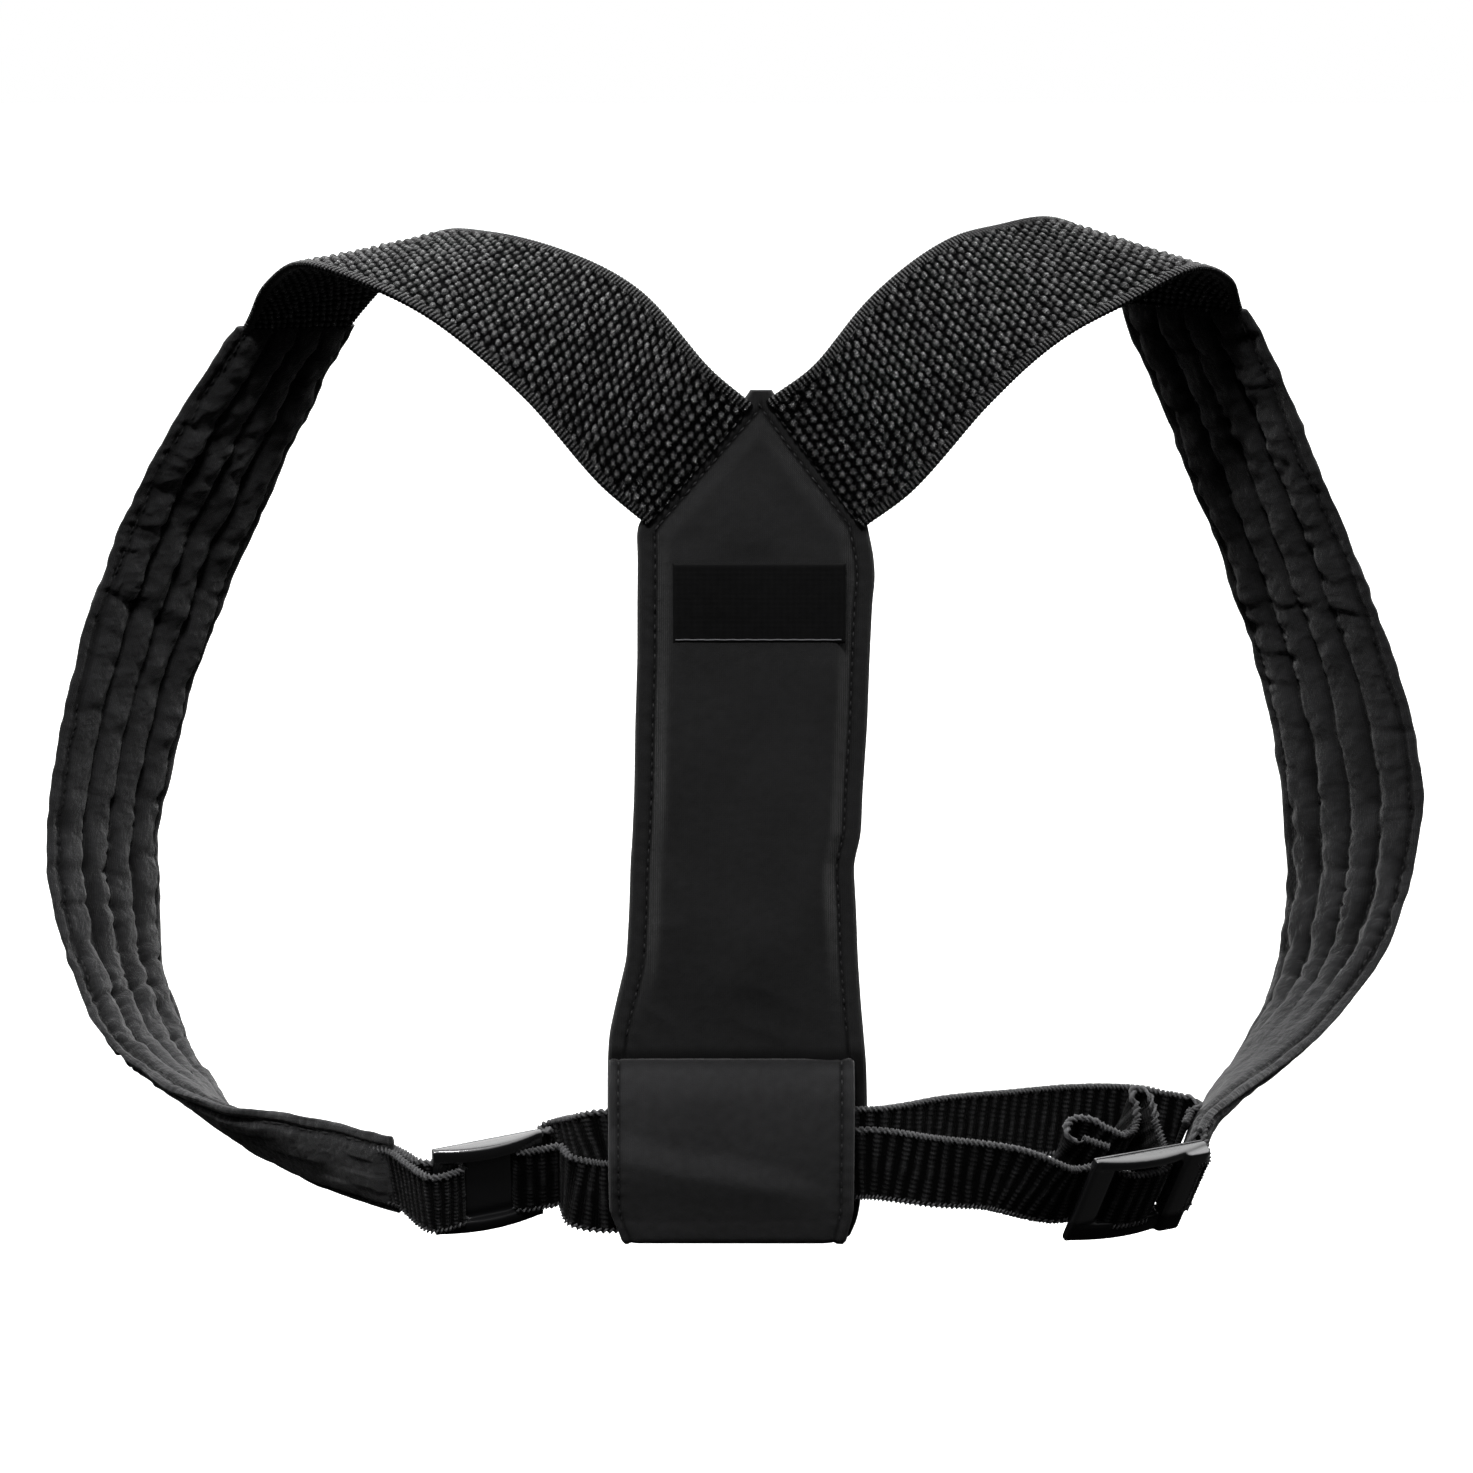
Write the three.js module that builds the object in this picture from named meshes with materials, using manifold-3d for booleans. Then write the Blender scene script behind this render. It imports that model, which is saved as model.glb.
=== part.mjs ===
// Posture corrector, in the form it takes when worn and seen from behind the wearer.
// A padded back panel carries two wide elastic straps in a V. Each elastic runs over a shoulder
// into a quilted strap, which comes back under the arm to a webbing belt with two plastic buckles.
// The belt runs twice through a tunnel at the foot of the panel.
// Units are millimetres. +X is the wearer's right, +Y the front of the body, +Z is up.
// The origin is on the body side of the back panel, level with the middle of the V.
import * as THREE from 'three';
import { mergeVertices } from 'three/addons/utils/BufferGeometryUtils.js';
import Module from 'manifold-3d';

// Back panel and its belt tunnel
const panelWidth = 74;
const panelLength = 282;        // apex of the V to the bottom fold
const panelThickness = 6.6;
const panelEdgeRoll = 7;        // width of the padded, stitched border
const tunnelHeight = 64;        // fold at the top of the flap to the bottom of the panel
const tunnelBackThickness = 3;
const tunnelDepth = 6.4;        // free space for the belt, front to back
const flapWall = 2.4;
const flapWidth = 80;
const labelWidth = 54;
const labelHeight = 25.5;
const labelThickness = 0.6;
const labelDrop = 47;           // origin down to the middle of the label

// Elastic straps
const elasticWidth = 50;
const elasticThickness = 2.4;
const selvedgeWidth = 3.3;
const leftElasticLength = 214;  // panel edge to the end of the quilted strap
const rightElasticLength = 200;
const seamTuck = 5;             // how far an elastic end reaches into the panel
const padTuck = 12;             // how far it reaches into the quilted strap

// Quilted straps
const padWidth = 59;
const padThickness = 8.6;
const padChannels = 4;
const leftPadEndWidth = 31;
const rightPadEndWidth = 27;
const wrinklePitch = 21;
const wrinkleDepth = 0.8;

// Loops of the two shoulder straps
const leftReach = 238;
const rightReach = 218;
const loopDepth = 140;          // back panel to the front of the shoulder
const loopDrop = 248;           // origin down to the underarm

// Belt webbing and plastic buckles
const webbingWidth = 25;
const webbingThickness = 2;
const beltSag = 45;             // how far the rear pass of the belt bows towards the body's front
const tabWidth = 21;            // webbing between a quilted strap and its buckle, gathered a little
const tabTuck = 7;              // how far it is sewn inside the strap's end
const buckleLength = 37;
const sliderLength = 42;
const barThickness = 3;
const buckleEndBar = 7;
const sliderEndBar = 4.4;
const railHeight = 3.8;
const railBulge = 3;            // extra depth of the rails at mid length
const buckleCentreBar = 14.4;
const sliderCentreBar = 11;

const clearance = 0.3;          // between pieces that touch or are sewn together
const slotClearance = 0.9;      // webbing edge to the end of a slot

const wasm = await Module();
wasm.setup();

const vector = (x, y, z) => new THREE.Vector3(x, y, z);
const degrees = THREE.MathUtils.degToRad;
const table = (columns, rows) => rows.map((row) => Object.fromEntries(columns.map((name, i) => [name, row[i]])));

// Value of a column at a share along the table, eased between rows
function readTable(rows, key, column, at) {
  let i = 0;
  while (i < rows.length - 2 && at > rows[i + 1][key]) i += 1;
  const [a, b] = [rows[i], rows[i + 1]];
  const share = THREE.MathUtils.clamp((at - a[key]) / (b[key] - a[key]), 0, 1);
  return THREE.MathUtils.lerp(a[column], b[column], share * share * (3 - 2 * share));
}

// Booleans on closed meshes
function toSolid(geometry) {
  const bare = new THREE.BufferGeometry();
  bare.setAttribute('position', geometry.attributes.position.clone());
  if (geometry.index) bare.setIndex(geometry.index.clone());
  const merged = mergeVertices(bare, 1e-4);
  return new wasm.Manifold(new wasm.Mesh({
    numProp: 3,
    vertProperties: new Float32Array(merged.attributes.position.array),
    triVerts: new Uint32Array(merged.index.array),
  }));
}

function toGeometry(solid) {
  const mesh = solid.getMesh();
  const geometry = new THREE.BufferGeometry();
  geometry.setAttribute('position', new THREE.BufferAttribute(new Float32Array(mesh.vertProperties), 3));
  geometry.setIndex(new THREE.BufferAttribute(new Uint32Array(mesh.triVerts), 1));
  geometry.computeVertexNormals();
  return geometry;
}

function cutFrom(geometry, ...cutters) {
  return toGeometry(cutters.reduce((solid, cutter) => solid.subtract(toSolid(cutter)), toSolid(geometry)));
}

// A closed strip: one section per frame. A section is a list of columns across the strip, each
// with its place u, and its height above and below the middle surface.
function stripSolid(frames, sectionAt) {
  const positions = [];
  let ring = 0;
  frames.forEach((frame, i) => {
    const columns = sectionAt(i / (frames.length - 1), frame);
    const place = (column, height) => frame.point.clone()
      .addScaledVector(frame.across, column.u)
      .addScaledVector(frame.outer, height);
    const above = columns.map((column) => place(column, column.above));
    const below = columns.map((column) => place(column, -column.below)).reverse();
    for (const point of [...above, ...below]) positions.push(point.x, point.y, point.z);
    ring = columns.length * 2;
  });
  const index = [];
  const quad = (a, b, c, d) => index.push(a, b, c, a, c, d);
  for (let i = 0; i < frames.length - 1; i += 1) {
    for (let k = 0; k < ring; k += 1) {
      const next = (k + 1) % ring;
      quad(i * ring + k, i * ring + next, (i + 1) * ring + next, (i + 1) * ring + k);
    }
  }
  const last = (frames.length - 1) * ring;
  for (let k = 0; k < ring / 2 - 1; k += 1) {
    const [top, topNext, under, underNext] = [k, k + 1, ring - 1 - k, ring - 2 - k];
    quad(top, under, underNext, topNext);
    quad(last + top, last + topNext, last + underNext, last + under);
  }
  const geometry = new THREE.BufferGeometry();
  geometry.setAttribute('position', new THREE.Float32BufferAttribute(positions, 3));
  geometry.setIndex(signedVolume(positions, index) < 0 ? index.reverse() : index);
  geometry.computeVertexNormals();
  return geometry;
}

function signedVolume(positions, index) {
  const corner = (i) => vector(positions[3 * i], positions[3 * i + 1], positions[3 * i + 2]);
  let sum = 0;
  for (let i = 0; i < index.length; i += 3) {
    sum += corner(index[i]).dot(corner(index[i + 1]).cross(corner(index[i + 2])));
  }
  return sum / 6;
}

const flatSection = (width, thickness) => () => [-0.5, 0.5].map((share) => (
  { u: share * width, above: thickness / 2, below: thickness / 2 }));

// Back panel outline. up is a share of panelLength from the origin, left and right are shares of
// panelWidth, and edge is how thick the border is there, as a share of the panel's thickness.
const panelRows = table(['up', 'left', 'right', 'edge'], [
  [0.068, 0.03, 0.06, 0.85],
  [0.059, 0.053, 0.081, 0.85],
  [0.015, 0.199, 0.199, 0.85],
  [-0.03, 0.346, 0.330, 0.85],
  [-0.074, 0.489, 0.461, 0.85],
  [-0.087, 0.511, 0.468, 0.6],
  [-0.115, 0.507, 0.492, 0.5],
  [-0.142, 0.508, 0.501, 0.5],
  [-0.17, 0.510, 0.490, 0.5],
  [-0.235, 0.512, 0.481, 0.5],
  [-0.31, 0.523, 0.474, 0.5],
  [-0.391, 0.530, 0.457, 0.5],
  [-0.44, 0.539, 0.452, 0.5],
  [-0.476, 0.549, 0.421, 0.5],
  [-0.53, 0.556, 0.434, 0.5],
  [-0.59, 0.570, 0.444, 0.5],
  [-0.64, 0.615, 0.458, 0.5],
  [-0.68, 0.648, 0.472, 0.5],
]);
// The same below the fold, where the panel is the thin back wall of the tunnel. up is here a share
// of tunnelHeight above the bottom fold.
const tunnelBackRows = table(['up', 'left', 'right'], [
  [1, 0.655, 0.481],
  [0.93, 0.657, 0.486],
  [0.7, 0.66, 0.492],
  [0.35, 0.652, 0.482],
  [0.1, 0.625, 0.455],
  [0, 0.59, 0.42],
]);
const panelTop = panelRows[0].up * panelLength;
const panelBottom = panelTop - panelLength;
const foldHeight = panelBottom + tunnelHeight;

// Ends of the slanted edge on one side: the corner by the apex and the shoulder corner
function slantedEdge(side) {
  const reach = side < 0 ? 'left' : 'right';
  const corner = (row) => vector(side * row[reach] * panelWidth, -panelThickness / 2, row.up * panelLength);
  return [corner(panelRows[1]), corner(panelRows[4])];
}

function panelGeometry() {
  const border = [[0, 0], [0.12, 0.5], [0.4, 0.86], [0.78, 0.7], [1.1, 1]];
  const rows = [
    ...panelRows.filter((row) => row.up * panelLength > foldHeight + tunnelBackThickness)
      .map((row) => ({ ...row, z: row.up * panelLength, depth: panelThickness })),
    { ...tunnelBackRows[0], edge: 0.5, z: foldHeight + tunnelBackThickness, depth: panelThickness },
    ...tunnelBackRows.map((row) => (
      { ...row, edge: 0.8, z: panelBottom + row.up * tunnelHeight - clearance, depth: tunnelBackThickness })),
  ];
  const frames = rows.map((row) => ({
    point: vector(0, 0, row.z), across: vector(1, 0, 0), outer: vector(0, -1, 0), row,
  }));
  return stripSolid(frames, (share, { row }) => {
    const width = (row.left + row.right) * panelWidth;
    const roll = Math.min(panelEdgeRoll, width / 2.6);
    const height = (rise) => row.depth * (row.edge + (1 - row.edge) * rise);
    const fromLeft = border.map(([inset, rise]) => (
      { u: -row.left * panelWidth + inset * roll, above: height(rise), below: 0 }));
    const fromRight = border.map(([inset, rise]) => (
      { u: row.right * panelWidth - inset * roll, above: height(rise), below: 0 })).reverse();
    return [...fromLeft, ...fromRight];
  });
}

// The flap is one fold of cloth: it starts on the panel at the fold line, stands clear of the back
// wall by tunnelDepth and turns under at the bottom.
const flapFront = tunnelBackThickness + tunnelDepth + flapWall / 2;
const flapCentre = -0.65 * panelWidth + flapWidth / 2;

function flapGeometry() {
  const start = panelThickness + clearance + flapWall / 2;
  const foot = panelBottom + flapWall / 2;
  const path = new THREE.CatmullRomCurve3([
    vector(0, -start, foldHeight + tunnelBackThickness),
    vector(0, -start - 0.25 * (flapFront - start), foldHeight),
    vector(0, -flapFront + 0.5, foldHeight - 0.1 * tunnelHeight),
    vector(0, -flapFront, foldHeight - 0.3 * tunnelHeight),
    vector(0, -flapFront, foldHeight - 0.7 * tunnelHeight),
    vector(0, -flapFront + 0.3, foldHeight - 0.88 * tunnelHeight),
    vector(0, -flapFront + 0.3 * tunnelDepth, foot + 0.6),
    vector(0, -flapFront + 0.6 * tunnelDepth, foot),
    vector(0, -tunnelBackThickness - clearance, foot),
  ]);
  const steps = 22;
  const frames = [];
  for (let i = 0; i <= steps; i += 1) {
    const tangent = path.getTangentAt(i / steps);
    frames.push({
      point: path.getPointAt(i / steps).setX(flapCentre),
      across: vector(1, 0, 0),
      outer: tangent.clone().cross(vector(1, 0, 0)).normalize(),
    });
  }
  return stripSolid(frames, (share) => {
    const cornerCut = 4 * THREE.MathUtils.smoothstep(share, 0.72, 0.95);
    const left = -flapWidth / 2 + cornerCut;
    const right = flapWidth / 2 - 0.6 * cornerCut;
    return [0, 0.05, 0.2, 0.4, 0.6, 0.8, 0.95, 1].map((at) => {
      const crease = 0.45 * Math.exp(-(((at - share * 1.4 + 0.2) / 0.16) ** 2));
      return {
        u: THREE.MathUtils.lerp(left, right, at),
        above: flapWall / 2 + crease * Math.sin(Math.PI * at) * Math.sin(Math.PI * share),
        below: flapWall / 2,
      };
    });
  });
}

// Routes of the shoulder straps. out, front and up are shares of the loop's reach, depth and drop.
// swing and tip turn the strap's width: swing towards the back, tip upwards, in degrees. The width
// runs from the neck edge to the arm edge.
const leftRoute = table(['out', 'front', 'up', 'swing', 'tip'], [
  [0.230, 0.107, 0.125, 22, -40],
  [0.342, 0.235, 0.188, 36, -24],
  [0.440, 0.345, 0.216, 34, -15],
  [0.520, 0.457, 0.223, 28, -9],
  [0.595, 0.680, 0.172, 32, -4],
  [0.665, 0.835, 0.085, 52, 5],
  [0.765, 0.890, -0.068, 47, 5],
  [0.867, 0.945, -0.260, 50, 13],
  [0.955, 0.985, -0.488, 53, 14],
  [0.996, 0.980, -0.688, 58, 14],
  [0.974, 0.895, -0.848, 63, 13],
  [0.918, 0.736, -0.932, 66, 15],
  [0.844, 0.570, -0.968, 70, 22],
  [0.765, 0.390, -0.985, 80, 38],
  [0.655, 0.240, -0.990, 88, 60],
  [0.580, 0.150, -0.990, 85, 70],
  [0.504, 0.064, -0.992, 80, 76],
]);
const rightRoute = table(['out', 'front', 'up', 'swing', 'tip'], [
  [0.250, 0.096, 0.120, 18, -43],
  [0.356, 0.229, 0.184, 30, -35],
  [0.450, 0.340, 0.211, 25, -27],
  [0.545, 0.457, 0.227, 16, -18],
  [0.612, 0.620, 0.198, 26, -11],
  [0.672, 0.800, 0.117, 46, 3],
  [0.770, 0.886, -0.063, 50, 10],
  [0.881, 0.950, -0.282, 47, 13],
  [0.972, 0.990, -0.502, 41, 12],
  [1.000, 0.993, -0.687, 43, 14],
  [0.964, 0.905, -0.843, 46, 17],
  [0.865, 0.730, -0.935, 56, 18],
  [0.780, 0.550, -0.962, 67, 24],
  [0.714, 0.357, -0.975, 76, 40],
  [0.680, 0.215, -0.994, 80, 60],
]);

// A route as two curves, the strap's middle and its width direction, measured along the middle
function shoulderRoute(side, rows, reach, elasticLength) {
  const [neckCorner, armCorner] = slantedEdge(side);
  const seam = neckCorner.clone().add(armCorner).multiplyScalar(0.5);
  const seamAcross = armCorner.clone().sub(neckCorner).normalize();
  const leave = vector(-side * seamAcross.z, 0, side * seamAcross.x).normalize();
  if (leave.z < 0) leave.negate();
  const points = [-seamTuck, 0, 0.3 * elasticWidth].map((along) => seam.clone().addScaledVector(leave, along));
  const widths = points.map(() => seamAcross.clone());
  for (const row of rows) {
    points.push(vector(side * row.out * reach, row.front * loopDepth, row.up * loopDrop));
    const [swing, tip] = [degrees(row.swing), degrees(row.tip)];
    widths.push(vector(side * Math.cos(tip) * Math.cos(swing), -Math.cos(tip) * Math.sin(swing), Math.sin(tip)));
  }
  const middle = new THREE.CatmullRomCurve3(points);
  middle.arcLengthDivisions = 1200;
  const width = new THREE.CatmullRomCurve3(widths, false, 'catmullrom', 0.5);
  const length = middle.getLength();
  const frameAt = (distance) => {
    const t = middle.getUtoTmapping(THREE.MathUtils.clamp(distance / length, 0, 1));
    const tangent = middle.getTangent(t);
    const across = width.getPoint(t).normalize();
    const outer = across.clone().cross(tangent).normalize().multiplyScalar(side);
    return { point: middle.getPoint(t), tangent, across, outer };
  };
  const between = (from, to, steps) => Array.from({ length: steps + 1 }, (_, i) => (
    frameAt(THREE.MathUtils.lerp(from, to, i / steps))));
  return { side, length, frameAt, between, padStart: seamTuck + elasticLength };
}

// Elastic strap, a little thinner at its two selvedges
function elasticSection() {
  const half = elasticWidth / 2;
  const selvedge = half - selvedgeWidth;
  const thick = elasticThickness / 2;
  return () => [[-half, 0.8], [-selvedge, 0.9], [0, 1], [selvedge, 0.9], [half, 0.8]].map(([u, share]) => (
    { u, above: thick * share, below: thick * share }));
}

const elasticGeometry = (route) => stripSolid(route.between(0, route.padStart + padTuck, 30), elasticSection());

// Room for an elastic strap inside the panel or the quilted strap
function elasticPocket(route, from, to) {
  const frames = route.between(from, to, 6);
  frames[0].point.addScaledVector(frames[0].tangent, -clearance);
  frames[6].point.addScaledVector(frames[6].tangent, clearance);
  return stripSolid(frames, flatSection(elasticWidth + 2 * clearance, elasticThickness + 2 * clearance));
}

// Width and thickness of a quilted strap along its length, as shares
const padRows = table(['at', 'width', 'thickness'], [
  [0, 0.93, 0.72],
  [0.02, 0.98, 0.95],
  [0.08, 1, 1],
  [0.54, 1, 1],
  [0.64, 0.88, 1],
  [0.74, 0.72, 1],
  [0.86, 0.57, 1],
  [1, 0.5, 0.9],
]);

// Quilting: each channel swells between its stitch lines, and cross wrinkles run over it. The
// strap is left open for the end of its elastic and for the webbing sewn into its lower end.
function padGeometry(route, endWidth, rooms) {
  const from = route.padStart;
  const padLength = route.length - from;
  const steps = Math.round(padLength / 8);
  const endShare = padRows.at(-1).width;
  const frames = route.between(from, route.length, steps);
  const solid = stripSolid(frames, (share) => {
    const along = share * padLength;
    const taper = (1 - readTable(padRows, 'at', 'width', share)) / (1 - endShare);
    const half = THREE.MathUtils.lerp(padWidth, endWidth, taper) / 2;
    const thick = padThickness / 2 * readTable(padRows, 'at', 'thickness', share);
    const stuffed = THREE.MathUtils.smoothstep(share, 0.93, 0.97);
    const columns = [];
    for (let k = 0; k <= 2 * padChannels; k += 1) {
      const u = half * (k / padChannels - 1);
      const swell = k % 2 === 1 ? 1 : THREE.MathUtils.lerp(0.58, 0.9, stuffed);
      const rim = k === 0 || k === 2 * padChannels ? 0.72 : 1;
      const phase = 2 * Math.PI * (along / wrinklePitch + 0.27 * k);
      const fade = Math.sin(Math.PI * THREE.MathUtils.clamp(share * 6, 0, 0.5))
        * Math.sin(Math.PI * THREE.MathUtils.clamp((1 - share) * 6, 0, 0.5));
      const wrinkle = wrinkleDepth * fade * Math.sin(phase) * 0.5;
      columns.push({
        u: u + (rim < 1 ? wrinkle * 0.8 : 0),
        above: thick * swell * rim + wrinkle,
        below: thick * swell * rim - wrinkle,
      });
    }
    return columns;
  });
  return cutFrom(solid, elasticPocket(route, from - 2, from + padTuck), ...rooms);
}

// The same frame with its width direction square to the strip's run
function squareFrame({ point, tangent, across, outer }) {
  const square = across.clone().addScaledVector(tangent, -across.dot(tangent)).normalize();
  return { point, tangent, across: square, outer };
}

// A strip of webbing through a list of stations, each with its place and its width direction
function webbingGeometry(stations, perSpan, width = webbingWidth, thickness = webbingThickness) {
  const middle = new THREE.CatmullRomCurve3(stations.map((station) => station.point));
  const spans = stations.length - 1;
  const frames = [];
  for (let i = 0; i <= spans * perSpan; i += 1) {
    const span = Math.min(Math.floor(i / perSpan), spans - 1);
    const share = THREE.MathUtils.smoothstep(i / perSpan - span, 0, 1);
    const t = i / (spans * perSpan);
    const tangent = middle.getTangent(t);
    const across = stations[span].up.clone().lerp(stations[span + 1].up, share);
    across.addScaledVector(tangent, -across.dot(tangent)).normalize();
    frames.push({ point: middle.getPoint(t), across, outer: across.clone().cross(tangent) });
  }
  return stripSolid(frames, flatSection(width, thickness));
}

// A buckle's own axes: a along its rails, h up its bars and n towards the back of the wearer
function buckleFrame(centre, yaw, tilt, roll, endBar) {
  const a = vector(Math.cos(degrees(yaw)), Math.sin(degrees(yaw)), 0);
  const h = vector(0, 0, 1).applyAxisAngle(a, degrees(tilt));
  const n = a.clone().cross(h);
  a.applyAxisAngle(n, degrees(roll));
  h.applyAxisAngle(n, degrees(roll));
  const place = (along, out, up = 0) => ({
    point: centre.clone().addScaledVector(a, along).addScaledVector(n, out).addScaledVector(h, up),
    up: h.clone(),
  });
  return { centre, a, h, n, place, endBar };
}

// Frame with two slots, an end bar on each side, a middle bar, and rails that swell at mid length
function buckleGeometry(length, endBarWidth, centreBar) {
  const slotHeight = webbingWidth + 2 * slotClearance;
  const half = length / 2;
  const top = slotHeight / 2 + railHeight;
  const radius = 1.2 * railHeight;
  const outline = new THREE.Shape();
  for (const [quarter, x, y] of [[-1, 1, -1], [0, 1, 1], [1, -1, 1], [2, -1, -1]]) {
    const start = quarter * Math.PI / 2;
    outline.absarc(x * (half - radius), y * (top - radius), radius, start, start + Math.PI / 2, false);
  }
  const frame = new THREE.ExtrudeGeometry(outline, { depth: barThickness, bevelEnabled: false, curveSegments: 5 });
  frame.translate(0, 0, -barThickness / 2);
  let solid = toSolid(frame);
  const slotLength = half - endBarWidth - centreBar / 2;
  for (const side of [-1, 1]) {
    const slot = new THREE.BoxGeometry(slotLength, slotHeight, 2 * barThickness);
    slot.translate(side * (centreBar + slotLength) / 2, 0, 0);
    solid = solid.subtract(toSolid(slot));
  }
  const rail = new THREE.Shape();
  const reach = half - radius / 2;
  rail.moveTo(-reach, 0).lineTo(reach, 0).lineTo(reach, barThickness / 2);
  rail.quadraticCurveTo(0, barThickness / 2 + 2 * railBulge, -reach, barThickness / 2);
  for (const base of [slotHeight / 2, -slotHeight / 2 - railHeight]) {
    const block = new THREE.ExtrudeGeometry(rail, { depth: railHeight, bevelEnabled: false, curveSegments: 8 });
    block.rotateX(Math.PI / 2);
    block.translate(0, base + railHeight, 0);
    solid = solid.add(toSolid(block));
  }
  return toGeometry(solid);
}

const posture = new THREE.Group();

// Charcoal cloth, black elastic and webbing, gloss black plastic
const finishes = {
  cloth: { color: 0x242426, roughness: 0.95, metalness: 0 },
  quilting: { color: 0x29292b, roughness: 0.95, metalness: 0 },
  elastic: { color: 0x1a1a1c, roughness: 0.85, metalness: 0 },
  webbing: { color: 0x19191b, roughness: 0.8, metalness: 0 },
  plastic: { color: 0x0f0f10, roughness: 0.25, metalness: 0 },
  label: { color: 0x101011, roughness: 0.7, metalness: 0 },
};

function addMesh(name, geometry, finish) {
  const mesh = new THREE.Mesh(geometry, new THREE.MeshStandardMaterial(finishes[finish]));
  mesh.name = name;
  posture.add(mesh);
  return mesh;
}

const left = shoulderRoute(-1, leftRoute, leftReach, leftElasticLength);
const right = shoulderRoute(1, rightRoute, rightReach, rightElasticLength);

addMesh('back_panel', cutFrom(
  panelGeometry(),
  elasticPocket(left, 0, 3 * seamTuck),
  elasticPocket(right, 0, 3 * seamTuck),
), 'cloth');
addMesh('belt_tunnel', flapGeometry(), 'cloth');
const label = addMesh('woven_label', new THREE.BoxGeometry(labelWidth, labelThickness, labelHeight), 'label');
label.position.set(0.008 * panelWidth, -panelThickness - clearance - labelThickness / 2, -labelDrop);

addMesh('elastic_strap_left', elasticGeometry(left), 'elastic');
addMesh('elastic_strap_right', elasticGeometry(right), 'elastic');

// The left buckle hangs on the left strap's end, the slider on the right strap's end
const leftEnd = left.frameAt(left.length);
const rightEnd = right.frameAt(right.length);
const buckle = buckleFrame(leftEnd.point.clone().add(vector(31.5, -9, 1.8)), 20, 14, 4, buckleEndBar);
const slider = buckleFrame(rightEnd.point.clone().add(vector(-21.8, -18.9, -5.4)), 28, 24, -3, sliderEndBar);

function addBuckle(name, frame, length, centreBar) {
  const mesh = addMesh(name, buckleGeometry(length, frame.endBar, centreBar), 'plastic');
  mesh.setRotationFromMatrix(new THREE.Matrix4().makeBasis(frame.a, frame.h, frame.n));
  mesh.position.copy(frame.centre);
}
addBuckle('left_buckle', buckle, buckleLength, buckleCentreBar);
addBuckle('right_slider', slider, sliderLength, sliderCentreBar);

// Webbing round an end bar: behind it, round its inner edge and back in front of it
const wrap = barThickness / 2 + webbingThickness / 2 + 0.7;

function barTurn(frame, length, side, up = 0) {
  const bar = length / 2 - frame.endBar;
  const turn = [-90, -45, 0, 45, 90].map((angle) => frame.place(
    side * (bar + 0.2 - wrap * Math.cos(degrees(angle))), wrap * Math.sin(degrees(angle)), up));
  return [
    frame.place(side * (length / 2 + 2), -wrap - 2.2, up), ...turn,
    frame.place(side * (length / 2 + 1.5), wrap + 0.3, up),
  ];
}

// Tab: a doubled piece of webbing from a strap's end round the near end bar of its buckle
const tabLayer = webbingThickness / 2 + clearance / 2;

function tabStations(route, frame, length, side, tuck) {
  const layer = (distance, height) => {
    const at = squareFrame(route.frameAt(route.length + Math.min(distance, 0)));
    const point = at.point.clone().addScaledVector(at.tangent, Math.max(distance, 0));
    return { point: point.addScaledVector(at.outer, height), up: at.across };
  };
  const slack = (webbingWidth - tabWidth) / 2 + slotClearance / 2;
  const rise = route.frameAt(route.length).point.sub(frame.centre).dot(frame.h);
  return [
    layer(-tuck, -tabLayer), layer(-tuck / 2, -tabLayer), layer(0.5, -tabLayer),
    ...barTurn(frame, length, side, THREE.MathUtils.clamp(rise, -slack, slack)),
    layer(0.5, tabLayer), layer(-tuck / 2, tabLayer), layer(-tuck, tabLayer),
  ];
}

function addPaddedStrap(word, route, frame, length, endWidth) {
  const stations = (tuck) => tabStations(route, frame, length, route.side, tuck);
  const roomy = stations(tabTuck + 2 * clearance);
  const rooms = [roomy.slice(0, 5), roomy.slice(-5)].map((layer) => webbingGeometry(
    layer, 3, tabWidth + 3 * clearance, webbingThickness + 3 * clearance));
  addMesh(`padded_strap_${word}`, padGeometry(route, endWidth, rooms), 'quilting');
  addMesh(`webbing_tab_${word}`, webbingGeometry(stations(tabTuck), 3, tabWidth), 'webbing');
}
addPaddedStrap('left', left, buckle, buckleLength, leftPadEndWidth);
addPaddedStrap('right', right, slider, sliderLength, rightPadEndWidth);

// Belt: one strip from the right strap's end, through the tunnel, round the left buckle, back
// through the tunnel and the slider, to its loose hemmed end.
const upright = vector(0, 0, 1);
const station = (x, y, z, up = upright) => ({ point: vector(x, y, z), up: up.clone() });
const tunnelLeft = -tunnelBackRows[2].left * panelWidth;
const tunnelRight = tunnelBackRows[2].right * panelWidth;
const innerPass = -(tunnelBackThickness + clearance + webbingThickness / 2);
const outerPass = innerPass - webbingThickness - 2 * clearance;

const beltEnd = right.frameAt(right.length - tabTuck);
const sewn = (back) => {
  const at = right.frameAt(right.length - back);
  const lift = padThickness / 2 + 2 * clearance + webbingThickness / 2;
  const up = upright.clone().addScaledVector(at.outer, -at.outer.z).normalize();
  return { point: at.point.clone().addScaledVector(at.outer, -lift).addScaledVector(up, -2), up };
};

// Rear pass between the right strap and the tunnel: along is a share of the way in X, front a share
// of beltSag, and down the distance of its middle under the fold of the tunnel
const rearPass = table(['along', 'front', 'down'], [
  [0.90, 0.99, 43],
  [0.84, 1.03, 42],
  [0.74, 1.01, 41],
  [0.60, 0.87, 39],
  [0.42, 0.59, 36],
  [0.22, 0.24, 32],
  [0.09, 0.00, 30.5],
]);
const spanRight = beltEnd.point.x - tunnelRight;
const rearStations = rearPass.map((row) => station(
  tunnelRight + row.along * spanRight, row.front * beltSag, foldHeight - row.down));

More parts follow.
